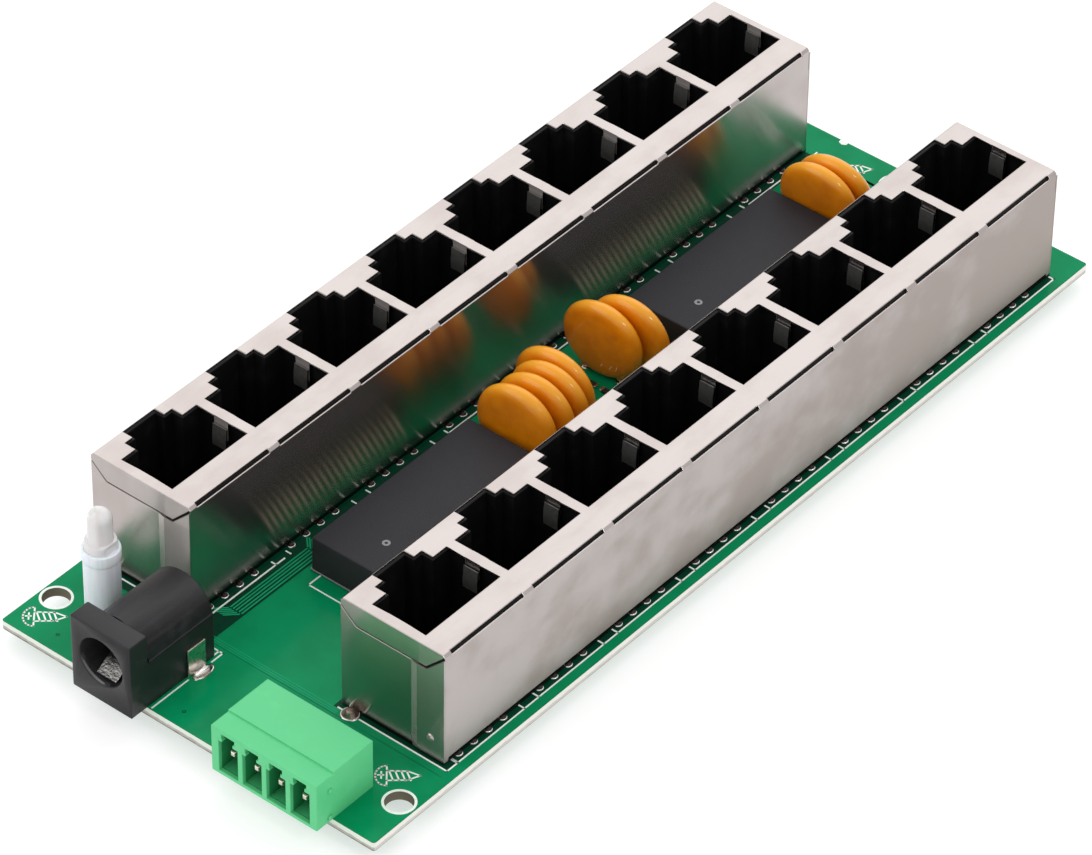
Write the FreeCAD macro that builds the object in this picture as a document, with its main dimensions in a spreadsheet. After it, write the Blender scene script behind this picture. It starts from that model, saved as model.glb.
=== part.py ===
import FreeCAD, Part
import operator
import os
import Sketcher
from FreeCAD import Placement, Rotation, Vector

# Multi-port power-over-Ethernet injector: a bare board with two ganged banks of upright network jacks,
# two transformers and eight resettable fuses in the lane between them, and its inlets on the front edge.
# Millimetres, +X across the board, +Y from the front edge to the back, +Z up.

SIZES = {
    # circuit board
    "board_thickness": 1.2,
    "left_margin": 0.97,
    "right_margin": 2.28,
    "front_margin": 14.6,
    "rear_margin": 4.9,
    "lane_width": 22.25,
    "mount_hole_radius": 1.65,
    "mount_hole_inset_x": 2.2,
    "mount_hole_inset_y": 6.75,
    "rear_hole_inset": 3.0,
    "rear_hole_shift": 1.4,
    # banks of network jacks
    "port_count": 8,
    "port_pitch": 13.97,
    "port_start": 1.35,
    "bank_end_spare": 0.86,
    "bank_width": 15.2,
    "bank_height": 16.05,
    "opening_width": 12.6,
    "opening_left": 3.49,
    "opening_depth": 7.78,
    "latch_step_width": 7.9,
    "latch_step_depth": 1.65,
    "latch_notch_width": 5.3,
    # folded shield
    "sheet": 0.25,
    "fold_cut": 0.35,
    "fold_slot_start": 1.2,
    "fold_slot_length": 12.2,
    "fold_slot_size": 0.48,
    "end_lift": 0.15,
    "wall_lift": 0.6,
    "wall_lift_inset": 0.6,
    "tab_width": 2.15,
    "tab_left": 6.2,
    "tab_reach": 0.3,
    "tab_drop": 4.0,
    "flap_drop": 3.0,
    "flap_side_drop": 0.95,
    "flap_left_run": 2.4,
    "flap_right_run": 2.75,
    "flap_gap": 0.2,
    "lap_width": 3.9,
    "lap_proud": 0.2,
    "ground_tab_left": 1.3,
    "ground_tab_width": 1.3,
    # moulded housing
    "latch_lip": 0.25,
    "tab_room": 0.35,
    "cavity_floor": 3.6,
    "tail_step_width": 1.0,
    "tail_step_height": 0.8,
    "contact_room_height": 7.5,
    "contact_room_left": 9.0,
    "contact_room_spare": 0.55,
    "peg_radius": 1.6,
    "peg_sides": 8,
    "peg_clearance": 0.08,
    "peg_drop": 1.9,
    "peg_x": 5.0,
    "peg_inset": 8.0,
    # contact strips
    "contact_count": 8,
    "contact_pitch": 1.27,
    "contact_start": 2.05,
    "contact_width": 0.45,
    "contact_sheet": 0.4,
    "outer_foot_inset": 0.7,
    "inner_foot_inset": 3.24,
    "contact_tip": 9.3,
    "contact_height": 10.4,
    "joint_size": 1.5,
    "joint_height": 1.1,
    # transformers
    "transformer_width": 12.2,
    "transformer_length": 27.7,
    "transformer_top": 5.1,
    "transformer_standoff": 0.25,
    "transformer_bevel": 0.35,
    "transformer_front": 29.1,
    "lead_count": 24,
    "lead_pitch": 1.0,
    "lead_width": 0.4,
    "lead_reach": 1.7,
    "lead_foot": 0.5,
    "lead_exit": 1.3,
    "lead_sheet": 0.35,
    # resettable fuses
    "fuse_radius": 5.5,
    "fuse_sides": 24,
    "fuse_bevel": 0.8,
    "fuse_thickness": 2.7,
    "fuse_gap": 0.25,
    "fuse_centre": 5.6,
    "fuse_lead_spread": 2.54,
    "fuse_lead_size": 0.5,
    "fuse_yaw": 5.0,
    "front_fuse_gap": 0.9,
    "middle_fuse_gap": 7.1,
    "rear_transformer_gap": 3.4,
    "rear_fuse_gap": 0.9,
    "fuse_1_shift": -0.5,
    "fuse_2_shift": -0.15,
    "fuse_3_shift": 0.05,
    "fuse_4_shift": -1.1,
    "fuse_5_shift": -2.8,
    "fuse_6_shift": -1.5,
    "fuse_7_shift": 0.3,
    "fuse_8_shift": 0.7,
    # terminal header on the front edge
    "connector_overhang": 2.6,
    "header_inset": 6.0,
    "header_pitch": 3.5,
    "header_poles": 4,
    "header_end_wall": 1.05,
    "header_wall": 0.7,
    "header_depth": 9.4,
    "header_height": 6.9,
    "header_step": 0.25,
    "header_step_back": 2.85,
    "header_floor": 0.8,
    "header_roof": 1.1,
    "header_cell_depth": 6.6,
    "header_key_height": 0.75,
    "header_key_width": 0.45,
    "header_pin_size": 1.0,
    "header_pin_height": 2.6,
    "header_pin_recess": 0.7,
    "header_pin_bend": 8.2,
    # power jack on the front edge
    "jack_left": 13.5,
    "jack_width": 9.0,
    "jack_height": 10.6,
    "jack_flange": 3.0,
    "jack_length": 13.8,
    "jack_axis_height": 5.95,
    "jack_barrel_radius": 4.45,
    "jack_base_height": 6.55,
    "jack_bore_radius": 3.2,
    "jack_bore_depth": 10.0,
    "jack_pin_radius": 1.0,
    "jack_pin_recess": 3.2,
    "jack_spring_width": 3.0,
    "jack_spring_low": 2.6,
    "jack_spring_sheet": 0.25,
    "jack_spring_rise": 0.75,
    "jack_spring_front": 2.4,
    "lug_sheet": 0.3,
    "side_lug_start": 9.1,
    "side_lug_width": 2.9,
    "side_lug_height": 4.1,
    "rear_lug_width": 2.5,
    "rear_lug_height": 3.0,
    # indicator lamp on its spacer
    "lamp_x": 8.5,
    "lamp_y": 7.95,
    "spacer_radius": 2.1,
    "spacer_height": 11.5,
    "lamp_rim_radius": 1.9,
    "lamp_rim_height": 1.0,
    "lens_radius": 1.45,
    "lens_height": 2.35,
    "lamp_lead_spread": 1.27,
    # chip resistors
    "chip_length": 1.6,
    "chip_width": 0.8,
    "chip_height": 0.45,
    "chip_pitch": 2.2,
    "chip_count": 2,
    "chip_gap": 0.9,
    "chip_shift": -3.4,
}

doc = FreeCAD.newDocument("injector")
sheet = doc.addObject("Spreadsheet::Sheet", "Sizes")


class Length:
    """A number together with the sheet formula that gives it."""

    def __init__(self, value, formula):
        self.value = value
        self.formula = formula

    def __add__(self, other):
        return combine(operator.add, self, "+", other)

    def __radd__(self, other):
        return combine(operator.add, other, "+", self)

    def __sub__(self, other):
        return combine(operator.sub, self, "-", other)

    def __rsub__(self, other):
        return combine(operator.sub, other, "-", self)

    def __mul__(self, other):
        return combine(operator.mul, self, "*", other)

    def __rmul__(self, other):
        return combine(operator.mul, other, "*", self)

    def __truediv__(self, other):
        return combine(operator.truediv, self, "/", other)


def as_length(number):
    """Gives a plain number the form of a Length."""
    if isinstance(number, Length):
        return number
    return Length(number, repr(number))


def combine(operation, left, sign, right):
    """Joins two lengths by one sign, in number and in formula."""
    left = as_length(left)
    right = as_length(right)
    return Length(operation(left.value, right.value), f"({left.formula} {sign} {right.formula})")


class SheetSizes:
    """The driving sizes by name, each one a Length that reads its cell."""

    def __getattr__(self, name):
        return Length(SIZES[name], f"Sizes.{name}")


def fill_sheet():
    """Writes every driving size to a cell of its own, with its name as alias."""
    for row, (name, value) in enumerate(SIZES.items(), start=1):
        sheet.set(f"A{row}", name)
        sheet.set(f"B{row}", str(value))
        sheet.setAlias(f"B{row}", name)
    doc.recompute()


fill_sheet()
size = SheetSizes()

# Places that several pieces share, measured from the board's front left top corner.
PORTS_LENGTH = size.port_pitch * (size.port_count - 1) + size.opening_width
BANK_LENGTH = size.port_start + PORTS_LENGTH + size.bank_end_spare
BOARD_LENGTH = size.front_margin + BANK_LENGTH + size.rear_margin
RIGHT_BANK_X = size.left_margin + size.bank_width + size.lane_width
BOARD_WIDTH = RIGHT_BANK_X + size.bank_width + size.right_margin
BANKS = {"left": size.left_margin, "right": RIGHT_BANK_X}
LANE_CENTRE = size.left_margin + size.bank_width + size.lane_width / 2
FUSE_PITCH = size.fuse_thickness + size.fuse_gap
FUSE_GROUPS = {"front": 4, "middle": 2, "rear": 2}
HEADER_CELL = size.header_pitch - size.header_wall
HEADER_WIDTH = size.header_pitch * (size.header_poles - 1) + HEADER_CELL + 2 * size.header_end_wall
HEADER_LEFT = BOARD_WIDTH - size.header_inset - HEADER_WIDTH
HEADER_PIN_LEFT = size.header_end_wall + (HEADER_CELL - size.header_pin_size) / 2
FRONT_FACE = 0 - size.connector_overhang

# The frame's origin is under the middle of the whole outline, at the tips of the locating pegs.
FRAME_X = 0 - BOARD_WIDTH / 2
FRAME_Y = 0 - (BOARD_LENGTH - size.connector_overhang) / 2
FRAME_Z = size.peg_drop + size.board_thickness
NORMAL_IS_FORWARD = {"XY_Plane": True, "XZ_Plane": False, "YZ_Plane": True}


def bind(target, path, length):
    """Ties one property of an object to its formula in the sheet."""
    target.setExpression(path, as_length(length).formula)


def new_body(label):
    """Starts a piece that may hold several separate solids."""
    body = doc.addObject("PartDesign::Body", label)
    body.Label = label
    body.AllowCompound = True
    return body


def place(piece, x, y, z, rotation=Rotation()):
    """Seats a piece by its own origin, measured from the board's front left top corner."""
    base = (FRAME_X + x, FRAME_Y + y, FRAME_Z + z)
    piece.Placement = Placement(Vector(*(length.value for length in base)), rotation)
    for axis, length in zip("xyz", base):
        bind(piece, f"Placement.Base.{axis}", length)


def origin_feature(body, role):
    """Finds one of the body's own origin planes or axes."""
    return next(feature for feature in body.Origin.OriginFeatures if feature.Role == role)


def sketch_on(body, plane, offset=0):
    """Adds a sketch parallel to an origin plane, offset towards the axis's positive end."""
    sketch = body.newObject("Sketcher::SketchObject", f"{body.Name}_sketch")
    sketch.AttachmentSupport = [(origin_feature(body, plane), "")]
    sketch.MapMode = "FlatFace"
    along_normal = as_length(offset if NORMAL_IS_FORWARD[plane] else 0 - as_length(offset))
    sketch.AttachmentOffset = Placement(Vector(0, 0, along_normal.value), Rotation())
    bind(sketch, "AttachmentOffset.Base.z", along_normal)
    return sketch


def fix_point(sketch, geometry, point, x, y):
    """Holds a point of the sketch at its distances from the sketch's origin."""
    for kind, axis, length in (("DistanceX", -2, x), ("DistanceY", -1, y)):
        if isinstance(length, int):
            sketch.addConstraint(Sketcher.Constraint("PointOnObject", geometry, point, axis))
            continue
        constraint = Sketcher.Constraint(kind, -1, 1, geometry, point, length.value)
        index = sketch.addConstraint(constraint)
        bind(sketch, f"Constraints[{index}]", length)


def draw_polygon(sketch, corners):
    """Draws a closed outline through its corners; a plain 0 lies on the sketch's axis."""
    first = sketch.GeometryCount
    points = [Vector(as_length(x).value, as_length(y).value, 0) for x, y in corners]
    count = len(points)
    for index in range(count):
        sketch.addGeometry(Part.LineSegment(points[index], points[(index + 1) % count]))
    for index in range(count):
        following = first + (index + 1) % count
        sketch.addConstraint(Sketcher.Constraint("Coincident", first + index, 2, following, 1))
    for index, (x, y) in enumerate(corners):
        fix_point(sketch, first + index, 1, x, y)


def draw_rectangle(sketch, left, low, right, high):
    """Draws a rectangle between two opposite corners."""
    draw_polygon(sketch, [(left, low), (right, low), (right, high), (left, high)])


def draw_circle(sketch, x, y, radius):
    """Draws a circle about a centre."""
    centre = Vector(as_length(x).value, as_length(y).value, 0)
    circle = sketch.addGeometry(Part.Circle(centre, Vector(0, 0, 1), radius.value))
    fix_point(sketch, circle, 3, x, y)
    index = sketch.addConstraint(Sketcher.Constraint("Radius", circle, radius.value))
    bind(sketch, f"Constraints[{index}]", radius)


def draw_many_sided(sketch, x, y, radius, sides):
    """Draws a regular polygon inside a circle, with a flat side at the bottom."""
    first = sketch.GeometryCount
    centre = Vector(as_length(x).value, as_length(y).value, 0)
    half_turn = 180 / sides
    points = []
    for index in range(sides):
        turn = Rotation(Vector(0, 0, 1), half_turn * (2 * index + 1) - 90)
        points.append(centre + turn.multVec(Vector(radius.value, 0, 0)))
    for index in range(sides):
        sketch.addGeometry(Part.LineSegment(points[index - 1], points[index]))
    draw_circle(sketch, x, y, radius)
    circle = first + sides
    sketch.setConstruction(circle, True)
    sketch.addConstraint(Sketcher.Constraint("Horizontal", first))
    for index in range(sides):
        following = first + (index + 1) % sides
        sketch.addConstraint(Sketcher.Constraint("Coincident", first + index, 2, following, 1))
        sketch.addConstraint(Sketcher.Constraint("PointOnObject", first + index, 1, circle))
    for index in range(1, sides):
        sketch.addConstraint(Sketcher.Constraint("Equal", first, first + index))


def extrude(body, kind, sketch, length, forward=True):
    """Pads or pockets a sketch, forward being towards the axis's positive end."""
    feature = body.newObject(f"PartDesign::{kind}", f"{body.Name}_{kind.lower()}")
    feature.Profile = sketch
    bind(feature, "Length", length)
    plane = sketch.AttachmentSupport[0][0].Role
    feature.Reversed = ((kind == "Pad") == NORMAL_IS_FORWARD[plane]) != forward
    return feature


def bevel_ends(body, pad, amount):
    """Bevels the rims of a pad's two ends."""
    doc.recompute()
    ends = sorted(range(len(pad.Shape.Faces)), key=lambda index: pad.Shape.Faces[index].Area)[-2:]
    bevel = body.newObject("PartDesign::Chamfer", f"{body.Name}_bevel")
    bevel.Base = (pad, [f"Face{index + 1}" for index in ends])
    bind(bevel, "Size", amount)


def repeat(body, features, axis, pitch, count):
    """Repeats features in a row along one of the body's axes."""
    row = body.newObject("PartDesign::LinearPattern", f"{body.Name}_row")
    row.Originals = features
    row.Direction = (origin_feature(body, axis), [""])
    row.Mode = "Spacing"
    bind(row, "Offset", pitch)
    bind(row, "Occurrences", count)
    body.Tip = row


def mirror(body, features, plane):
    """Mirrors features in one of the body's origin planes."""
    mirrored = body.newObject("PartDesign::Mirrored", f"{body.Name}_mirror")
    mirrored.Originals = features
    mirrored.MirrorPlane = (origin_feature(body, plane), [""])
    body.Tip = mirrored


def peg_places():
    """Gives each locating peg's distance from its bank's near end."""
    return [size.peg_inset, BANK_LENGTH - size.peg_inset]


def make_board():
    """Builds the board with its mounting holes and peg holes."""
    body = new_body("circuit_board")
    outline = sketch_on(body, "XY_Plane")
    draw_rectangle(outline, 0, 0, BOARD_WIDTH, BOARD_LENGTH)
    extrude(body, "Pad", outline, size.board_thickness)
    holes = sketch_on(body, "XY_Plane")
    draw_circle(holes, size.mount_hole_inset_x, size.mount_hole_inset_y, size.mount_hole_radius)
    draw_circle(holes, BOARD_WIDTH - size.mount_hole_inset_x, size.mount_hole_inset_y, size.mount_hole_radius)
    rear_hole_y = BOARD_LENGTH - size.rear_hole_inset
    draw_circle(holes, LANE_CENTRE + size.rear_hole_shift, rear_hole_y, size.mount_hole_radius)
    peg_hole_radius = size.peg_radius + size.peg_clearance
    for bank_x in BANKS.values():
        for peg_y in peg_places():
            peg_x = bank_x + size.peg_x
            draw_many_sided(holes, peg_x, size.front_margin + peg_y, peg_hole_radius, SIZES["peg_sides"])
    extrude(body, "Pocket", holes, size.board_thickness)
    place(body, 0, 0, 0 - size.board_thickness)


def port_outline(lip, spare):
    """Gives the stepped outline of the first port: the plug's mouth and the two latch steps.

    lip narrows the latch steps, and spare widens the mouth along the bank.
    """
    near = size.port_start - spare
    far = size.port_start + size.opening_width + spare
    centre = size.port_start + size.opening_width / 2
    right = size.opening_left + size.opening_depth
    left = size.opening_left + lip
    step = size.opening_left - size.latch_step_depth + lip
    notch = size.sheet + lip + lip
    half_step = size.latch_step_width / 2 - lip
    half_notch = size.latch_notch_width / 2 - lip
    return [
        (right, near),
        (right, far),
        (left, far),
        (left, centre + half_step),
        (step, centre + half_step),
        (step, centre + half_notch),
        (notch, centre + half_notch),
        (notch, centre - half_notch),
        (step, centre - half_notch),
        (step, centre - half_step),
        (left, centre - half_step),
        (left, near),
    ]


def tab_outline(edge, inward):
    """Gives the bent profile of a spring tab that hangs from an edge of the opening.

    inward is 1 where the tab reaches towards the bank's far end, and -1 where it reaches back.
    """
    top = size.bank_height
    under = top - size.sheet
    low = top - size.tab_drop
    inner = edge + inward * size.tab_reach
    toe = edge + inward * size.tab_reach / 2
    thickness = inward * size.sheet
    return [
        (edge, top),
        (inner, top),
        (toe, low),
        (toe - thickness, low),
        (inner - thickness, under),
        (edge, under),
    ]


def flap_gap_outline():
    """Gives the thin cut round the end flap, which hangs from the top by its fold."""
    low = size.bank_height - size.flap_drop
    side = size.bank_height - size.flap_side_drop
    shoulder = size.bank_height - size.fold_cut
    right_foot = size.bank_width - size.flap_right_run
    gap = size.flap_gap
    return [
        (0, side),
        (size.flap_left_run, low),
        (right_foot, low),
        (size.bank_width - gap, shoulder),
        (size.bank_width, shoulder - gap),
        (right_foot + gap / 2, low - gap),
        (size.flap_left_run - gap / 2, low - gap),
        (0, side - gap),
    ]


def make_shield(side, bank_x):
    """Builds one folded shield: a five-sided sheet box with ports, slots, tabs and lapped ends."""
    body = new_body(f"{side}_bank_shield")
    width = size.bank_width
    top = size.bank_height
    section = sketch_on(body, "XZ_Plane")
    draw_polygon(section, [
        (0, size.end_lift),
        (width, size.end_lift),
        (width, top - size.fold_cut),
        (width - size.fold_cut, top),
        (size.fold_cut, top),
        (0, top - size.fold_cut),
    ])
    extrude(body, "Pad", section, BANK_LENGTH)
    hollow = sketch_on(body, "XZ_Plane", size.sheet)
    draw_rectangle(hollow, size.sheet, size.end_lift, width - size.sheet, top - size.sheet)
    extrude(body, "Pocket", hollow, BANK_LENGTH - 2 * size.sheet)
    lift = sketch_on(body, "YZ_Plane")
    inset = size.wall_lift_inset
    draw_rectangle(lift, inset, size.end_lift, BANK_LENGTH - inset, size.wall_lift)
    extrude(body, "Pocket", lift, width)

    opening = sketch_on(body, "XY_Plane", top)
    draw_polygon(opening, port_outline(0, 0))
    mouth = extrude(body, "Pocket", opening, size.fold_cut + size.sheet, forward=False)
    slot_sketch = sketch_on(body, "XY_Plane", top)
    slot_end = size.fold_slot_start + size.fold_slot_length
    draw_rectangle(slot_sketch, width - size.fold_slot_size, size.fold_slot_start, width, slot_end)
    slot = extrude(body, "Pocket", slot_sketch, size.fold_slot_size, forward=False)
    repeat(body, [mouth, slot], "Y_Axis", size.port_pitch, size.port_count)
    tab_sketch = sketch_on(body, "YZ_Plane", size.tab_left)
    draw_polygon(tab_sketch, tab_outline(size.port_start, 1))
    draw_polygon(tab_sketch, tab_outline(size.port_start + size.opening_width, -1))
    tabs = extrude(body, "Pad", tab_sketch, size.tab_width)
    repeat(body, [tabs], "Y_Axis", size.port_pitch, size.port_count)

    lap_top = top - size.flap_drop - size.flap_gap
    ground_tab_right = size.ground_tab_left + size.ground_tab_width
    for end, outward in ((0, False), (BANK_LENGTH, True)):
        gap_sketch = sketch_on(body, "XZ_Plane", end)
        draw_polygon(gap_sketch, flap_gap_outline())
        extrude(body, "Pocket", gap_sketch, size.sheet, forward=not outward)
        lap_sketch = sketch_on(body, "XZ_Plane", end)
        draw_rectangle(lap_sketch, width - size.lap_width, size.end_lift, width, lap_top)
        extrude(body, "Pad", lap_sketch, size.lap_proud, forward=outward)
        ground_sketch = sketch_on(body, "XZ_Plane", end)
        draw_rectangle(ground_sketch, size.ground_tab_left, 0, ground_tab_right, size.end_lift)
        extrude(body, "Pad", ground_sketch, size.sheet, forward=not outward)
    place(body, bank_x, size.front_margin, 0)


def make_housing(side, bank_x):
    """Builds one moulded housing with its stepped cavities, contact rooms and locating pegs."""
    body = new_body(f"{side}_bank_housing")
    left = size.sheet
    right = size.bank_width - size.sheet
    top = size.bank_height - size.sheet
    step = right - size.tail_step_width
    section = sketch_on(body, "XZ_Plane", size.sheet)
    draw_polygon(section, [
        (left, 0),
        (step, 0),
        (step, size.tail_step_height),
        (right, size.tail_step_height),
        (right, top),
        (left, top),
    ])
    extrude(body, "Pad", section, BANK_LENGTH - 2 * size.sheet)
    mouth_sketch = sketch_on(body, "XY_Plane", top)
    draw_polygon(mouth_sketch, port_outline(size.latch_lip, size.tab_room))
    cavity = extrude(body, "Pocket", mouth_sketch, top - size.cavity_floor, forward=False)
    room_sketch = sketch_on(body, "XY_Plane")
    room_near = size.contact_start - size.contact_room_spare
    contact_span = size.contact_pitch * (size.contact_count - 1) + size.contact_width
    room_far = size.contact_start + contact_span + size.contact_room_spare
    room_right = size.bank_width - size.outer_foot_inset + size.contact_sheet
    draw_rectangle(room_sketch, size.contact_room_left, room_near, room_right, room_far)
    room = extrude(body, "Pocket", room_sketch, size.contact_room_height)
    repeat(body, [cavity, room], "Y_Axis", size.port_pitch, size.port_count)
    pegs = sketch_on(body, "XY_Plane")
    for peg_y in peg_places():
        draw_many_sided(pegs, size.peg_x, peg_y, size.peg_radius, SIZES["peg_sides"])
    extrude(body, "Pad", pegs, size.board_thickness + size.peg_drop, forward=False)
    place(body, bank_x, size.front_margin, 0)


def contact_rows():
    """Gives the two staggered rows of contact feet: distance from the left, and from the near end."""
    outer = (size.bank_width - size.outer_foot_inset, size.contact_start)
    inner = (size.bank_width - size.inner_foot_inset, size.contact_start + size.contact_pitch)
    return [outer, inner]


def make_contacts(side, bank_x, port):
    """Builds the contact strips of one port, which lean from their feet into the cavity."""
    body = new_body(f"{side}_port_{port + 1}_contacts")
    for foot, start in contact_rows():
        strip_sketch = sketch_on(body, "XZ_Plane", start)
        draw_polygon(strip_sketch, [
            (foot, 0),
            (foot + size.contact_sheet, 0),
            (size.contact_tip, size.contact_height),
        ])
        strip = extrude(body, "Pad", strip_sketch, size.contact_width)
        repeat(body, [strip], "Y_Axis", 2 * size.contact_pitch, size.contact_count / 2)
    place(body, bank_x, size.front_margin + size.port_pitch * port, 0)


def add_joint(body, x, y):
    """Adds one pyramid of solder round a pin; the body's Z runs along the board and its Y down."""
    joint = body.newObject("PartDesign::AdditiveWedge", f"{body.Name}_joint")
    half = size.joint_size / 2
    bounds = {
        "Xmin": x - half,
        "Xmax": x + half,
        "X2min": x,
        "X2max": x,
        "Zmin": y - half,
        "Zmax": y + half,
        "Z2min": y,
        "Z2max": y,
        "Ymax": size.joint_height,
    }
    for name, length in bounds.items():
        bind(joint, name, length)
    return joint


def place_under_board(body, x, y):
    """Hangs a group of solder joints from the board's underside."""
    place(body, x, y, 0 - size.board_thickness, Rotation(Vector(1, 0, 0), -90))


def make_bank_solder(side, bank_x):
    """Builds the solder under one bank: two staggered rows for each port, and the shield's tabs."""
    body = new_body(f"{side}_bank_solder")
    joints = []
    for foot, start in contact_rows():
        for index in range(SIZES["contact_count"] // 2):
            along = start + size.contact_width / 2 + 2 * size.contact_pitch * index
            joints.append(add_joint(body, foot + size.contact_sheet / 2, along))
    repeat(body, joints, "Z_Axis", size.port_pitch, size.port_count)
    ground_tab_x = size.ground_tab_left + size.ground_tab_width / 2
    near_tab = add_joint(body, ground_tab_x, size.sheet)
    repeat(body, [near_tab], "Z_Axis", BANK_LENGTH - 2 * size.sheet, 2)
    place_under_board(body, bank_x, size.front_margin)


def make_transformer(name, start):
    """Builds one transformer block and the two rows of leads that carry it."""
    body = new_body(f"{name}_transformer")
    bevel = size.transformer_bevel
    width = size.transformer_width
    height = size.transformer_top - size.transformer_standoff
    section = sketch_on(body, "XZ_Plane")
    draw_polygon(section, [
        (0, 0),
        (width, 0),
        (width, height - bevel),
        (width - bevel, height),
        (bevel, height),
        (0, height - bevel),
    ])
    extrude(body, "Pad", section, size.transformer_length)
    place(body, LANE_CENTRE - width / 2, start, size.transformer_standoff)

    leads = new_body(f"{name}_transformer_leads")
    first = (size.transformer_length - size.lead_pitch * (size.lead_count - 1) - size.lead_width) / 2
    span = width + 2 * size.lead_reach
    left_row = (0, size.lead_foot, size.lead_reach)
    right_row = (span, span - size.lead_foot, span - size.lead_reach)
    for toe, heel, root in (left_row, right_row):
        lead_sketch = sketch_on(leads, "XZ_Plane", first)
        draw_polygon(lead_sketch, [
            (toe, 0),
            (heel, 0),
            (root, size.lead_exit),
            (root, size.lead_exit + size.lead_sheet),
        ])
        lead = extrude(leads, "Pad", lead_sketch, size.lead_width)
        repeat(leads, [lead], "Y_Axis", size.lead_pitch, size.lead_count)
    place(leads, LANE_CENTRE - span / 2, start, 0)


def lane_places():
    """Gives where each group of fuses starts down the lane, and where the rear transformer does."""
    front = size.transformer_front + size.transformer_length + size.front_fuse_gap
    middle = front + FUSE_GROUPS["front"] * FUSE_PITCH + size.middle_fuse_gap
    rear_transformer = middle + FUSE_GROUPS["middle"] * FUSE_PITCH + size.rear_transformer_gap
    rear = rear_transformer + size.transformer_length + size.rear_fuse_gap
    return {"front": front, "middle": middle, "rear": rear}, rear_transformer


def fuse_places(starts):
    """Gives each fuse's shift from the lane's centre, and how far back its front face is."""
    faces = []
    for group, count in FUSE_GROUPS.items():
        faces += [starts[group] + FUSE_PITCH * index for index in range(count)]
    shifts = [getattr(size, f"fuse_{number}_shift") for number in range(1, len(faces) + 1)]
    return list(zip(shifts, faces))


def make_fuse(number, shift, face):
    """Builds one coated disc on its two leads."""
    body = new_body(f"fuse_{number}")
    disc_sketch = sketch_on(body, "XZ_Plane")
    draw_many_sided(disc_sketch, 0, 0, size.fuse_radius, SIZES["fuse_sides"])
    disc = extrude(body, "Pad", disc_sketch, size.fuse_thickness)
    bevel_ends(body, disc, size.fuse_bevel)
    lead_sketch = sketch_on(body, "XY_Plane", 0 - size.fuse_centre)
    half = size.fuse_lead_size / 2
    middle = size.fuse_thickness / 2
    spread = size.fuse_lead_spread
    draw_rectangle(lead_sketch, spread - half, middle - half, spread + half, middle + half)
    lead = extrude(body, "Pad", lead_sketch, size.fuse_centre - size.fuse_radius + size.fuse_bevel)
    mirror(body, [lead], "YZ_Plane")
    place(body, LANE_CENTRE + shift, face, size.fuse_centre, Rotation(Vector(0, 0, 1), SIZES["fuse_yaw"]))
    bind(body, "Placement.Rotation.Angle", size.fuse_yaw)


def make_fuse_solder(places):
    """Builds the solder joints under the fuses' leads."""
    body = new_body("fuse_solder")
    for shift, face in places:
        for spread in (0 - size.fuse_lead_spread, size.fuse_lead_spread):
            add_joint(body, LANE_CENTRE + shift + spread, face + size.fuse_thickness / 2)
    place_under_board(body, 0, 0)


def make_chips(start):
    """Builds the chip resistors that stand in front of the middle fuses."""
    body = new_body("chip_resistors")
    outline = sketch_on(body, "XY_Plane")
    draw_rectangle(outline, 0, 0, size.chip_length, size.chip_width)
    chip = extrude(body, "Pad", outline, size.chip_height)
    repeat(body, [chip], "X_Axis", size.chip_pitch, size.chip_count)
    place(body, LANE_CENTRE + size.chip_shift, start - size.chip_gap - size.chip_width, 0)


def make_header():
    """Builds the terminal header: an open-fronted cell for each pole round an angled pin."""
    pin_high = size.header_pin_height + size.header_pin_size
    heel = size.header_pin_bend - size.header_pin_size
    pin_outline = [
        (size.header_pin_recess, size.header_pin_height),
        (heel, size.header_pin_height),
        (heel, 0),
        (size.header_pin_bend, 0),
        (size.header_pin_bend, pin_high),
        (size.header_pin_recess, pin_high),
    ]

    body = new_body("terminal_header")
    front_height = size.header_height - size.header_step
    section = sketch_on(body, "YZ_Plane")
    draw_polygon(section, [
        (0, 0),
        (size.header_depth, 0),
        (size.header_depth, size.header_height),
        (size.header_step_back, size.header_height),
        (size.header_step_back, front_height),
        (0, front_height),
    ])
    extrude(body, "Pad", section, HEADER_WIDTH)
    left = size.header_end_wall
    right = left + HEADER_CELL
    roof = front_height - size.header_roof
    key = roof - size.header_key_height
    cell_sketch = sketch_on(body, "XZ_Plane")
    draw_polygon(cell_sketch, [
        (left, size.header_floor),
        (right, size.header_floor),
        (right, key),
        (right - size.header_key_width, key),
        (right - size.header_key_width, roof),
        (left + size.header_key_width, roof),
        (left + size.header_key_width, key),
        (left, key),
    ])
    cell = extrude(body, "Pocket", cell_sketch, size.header_cell_depth)
    channel_sketch = sketch_on(body, "YZ_Plane", HEADER_PIN_LEFT)
    draw_polygon(channel_sketch, pin_outline)
    channel = extrude(body, "Pocket", channel_sketch, size.header_pin_size)
    repeat(body, [cell, channel], "X_Axis", size.header_pitch, size.header_poles)
    place(body, HEADER_LEFT, FRONT_FACE, 0)

    pins = new_body("terminal_pins")
    pin_sketch = sketch_on(pins, "YZ_Plane", HEADER_PIN_LEFT)
    draw_polygon(pin_sketch, pin_outline)
    pin = extrude(pins, "Pad", pin_sketch, size.header_pin_size)
    repeat(pins, [pin], "X_Axis", size.header_pitch, size.header_poles)
    place(pins, HEADER_LEFT, FRONT_FACE, 0)


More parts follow.
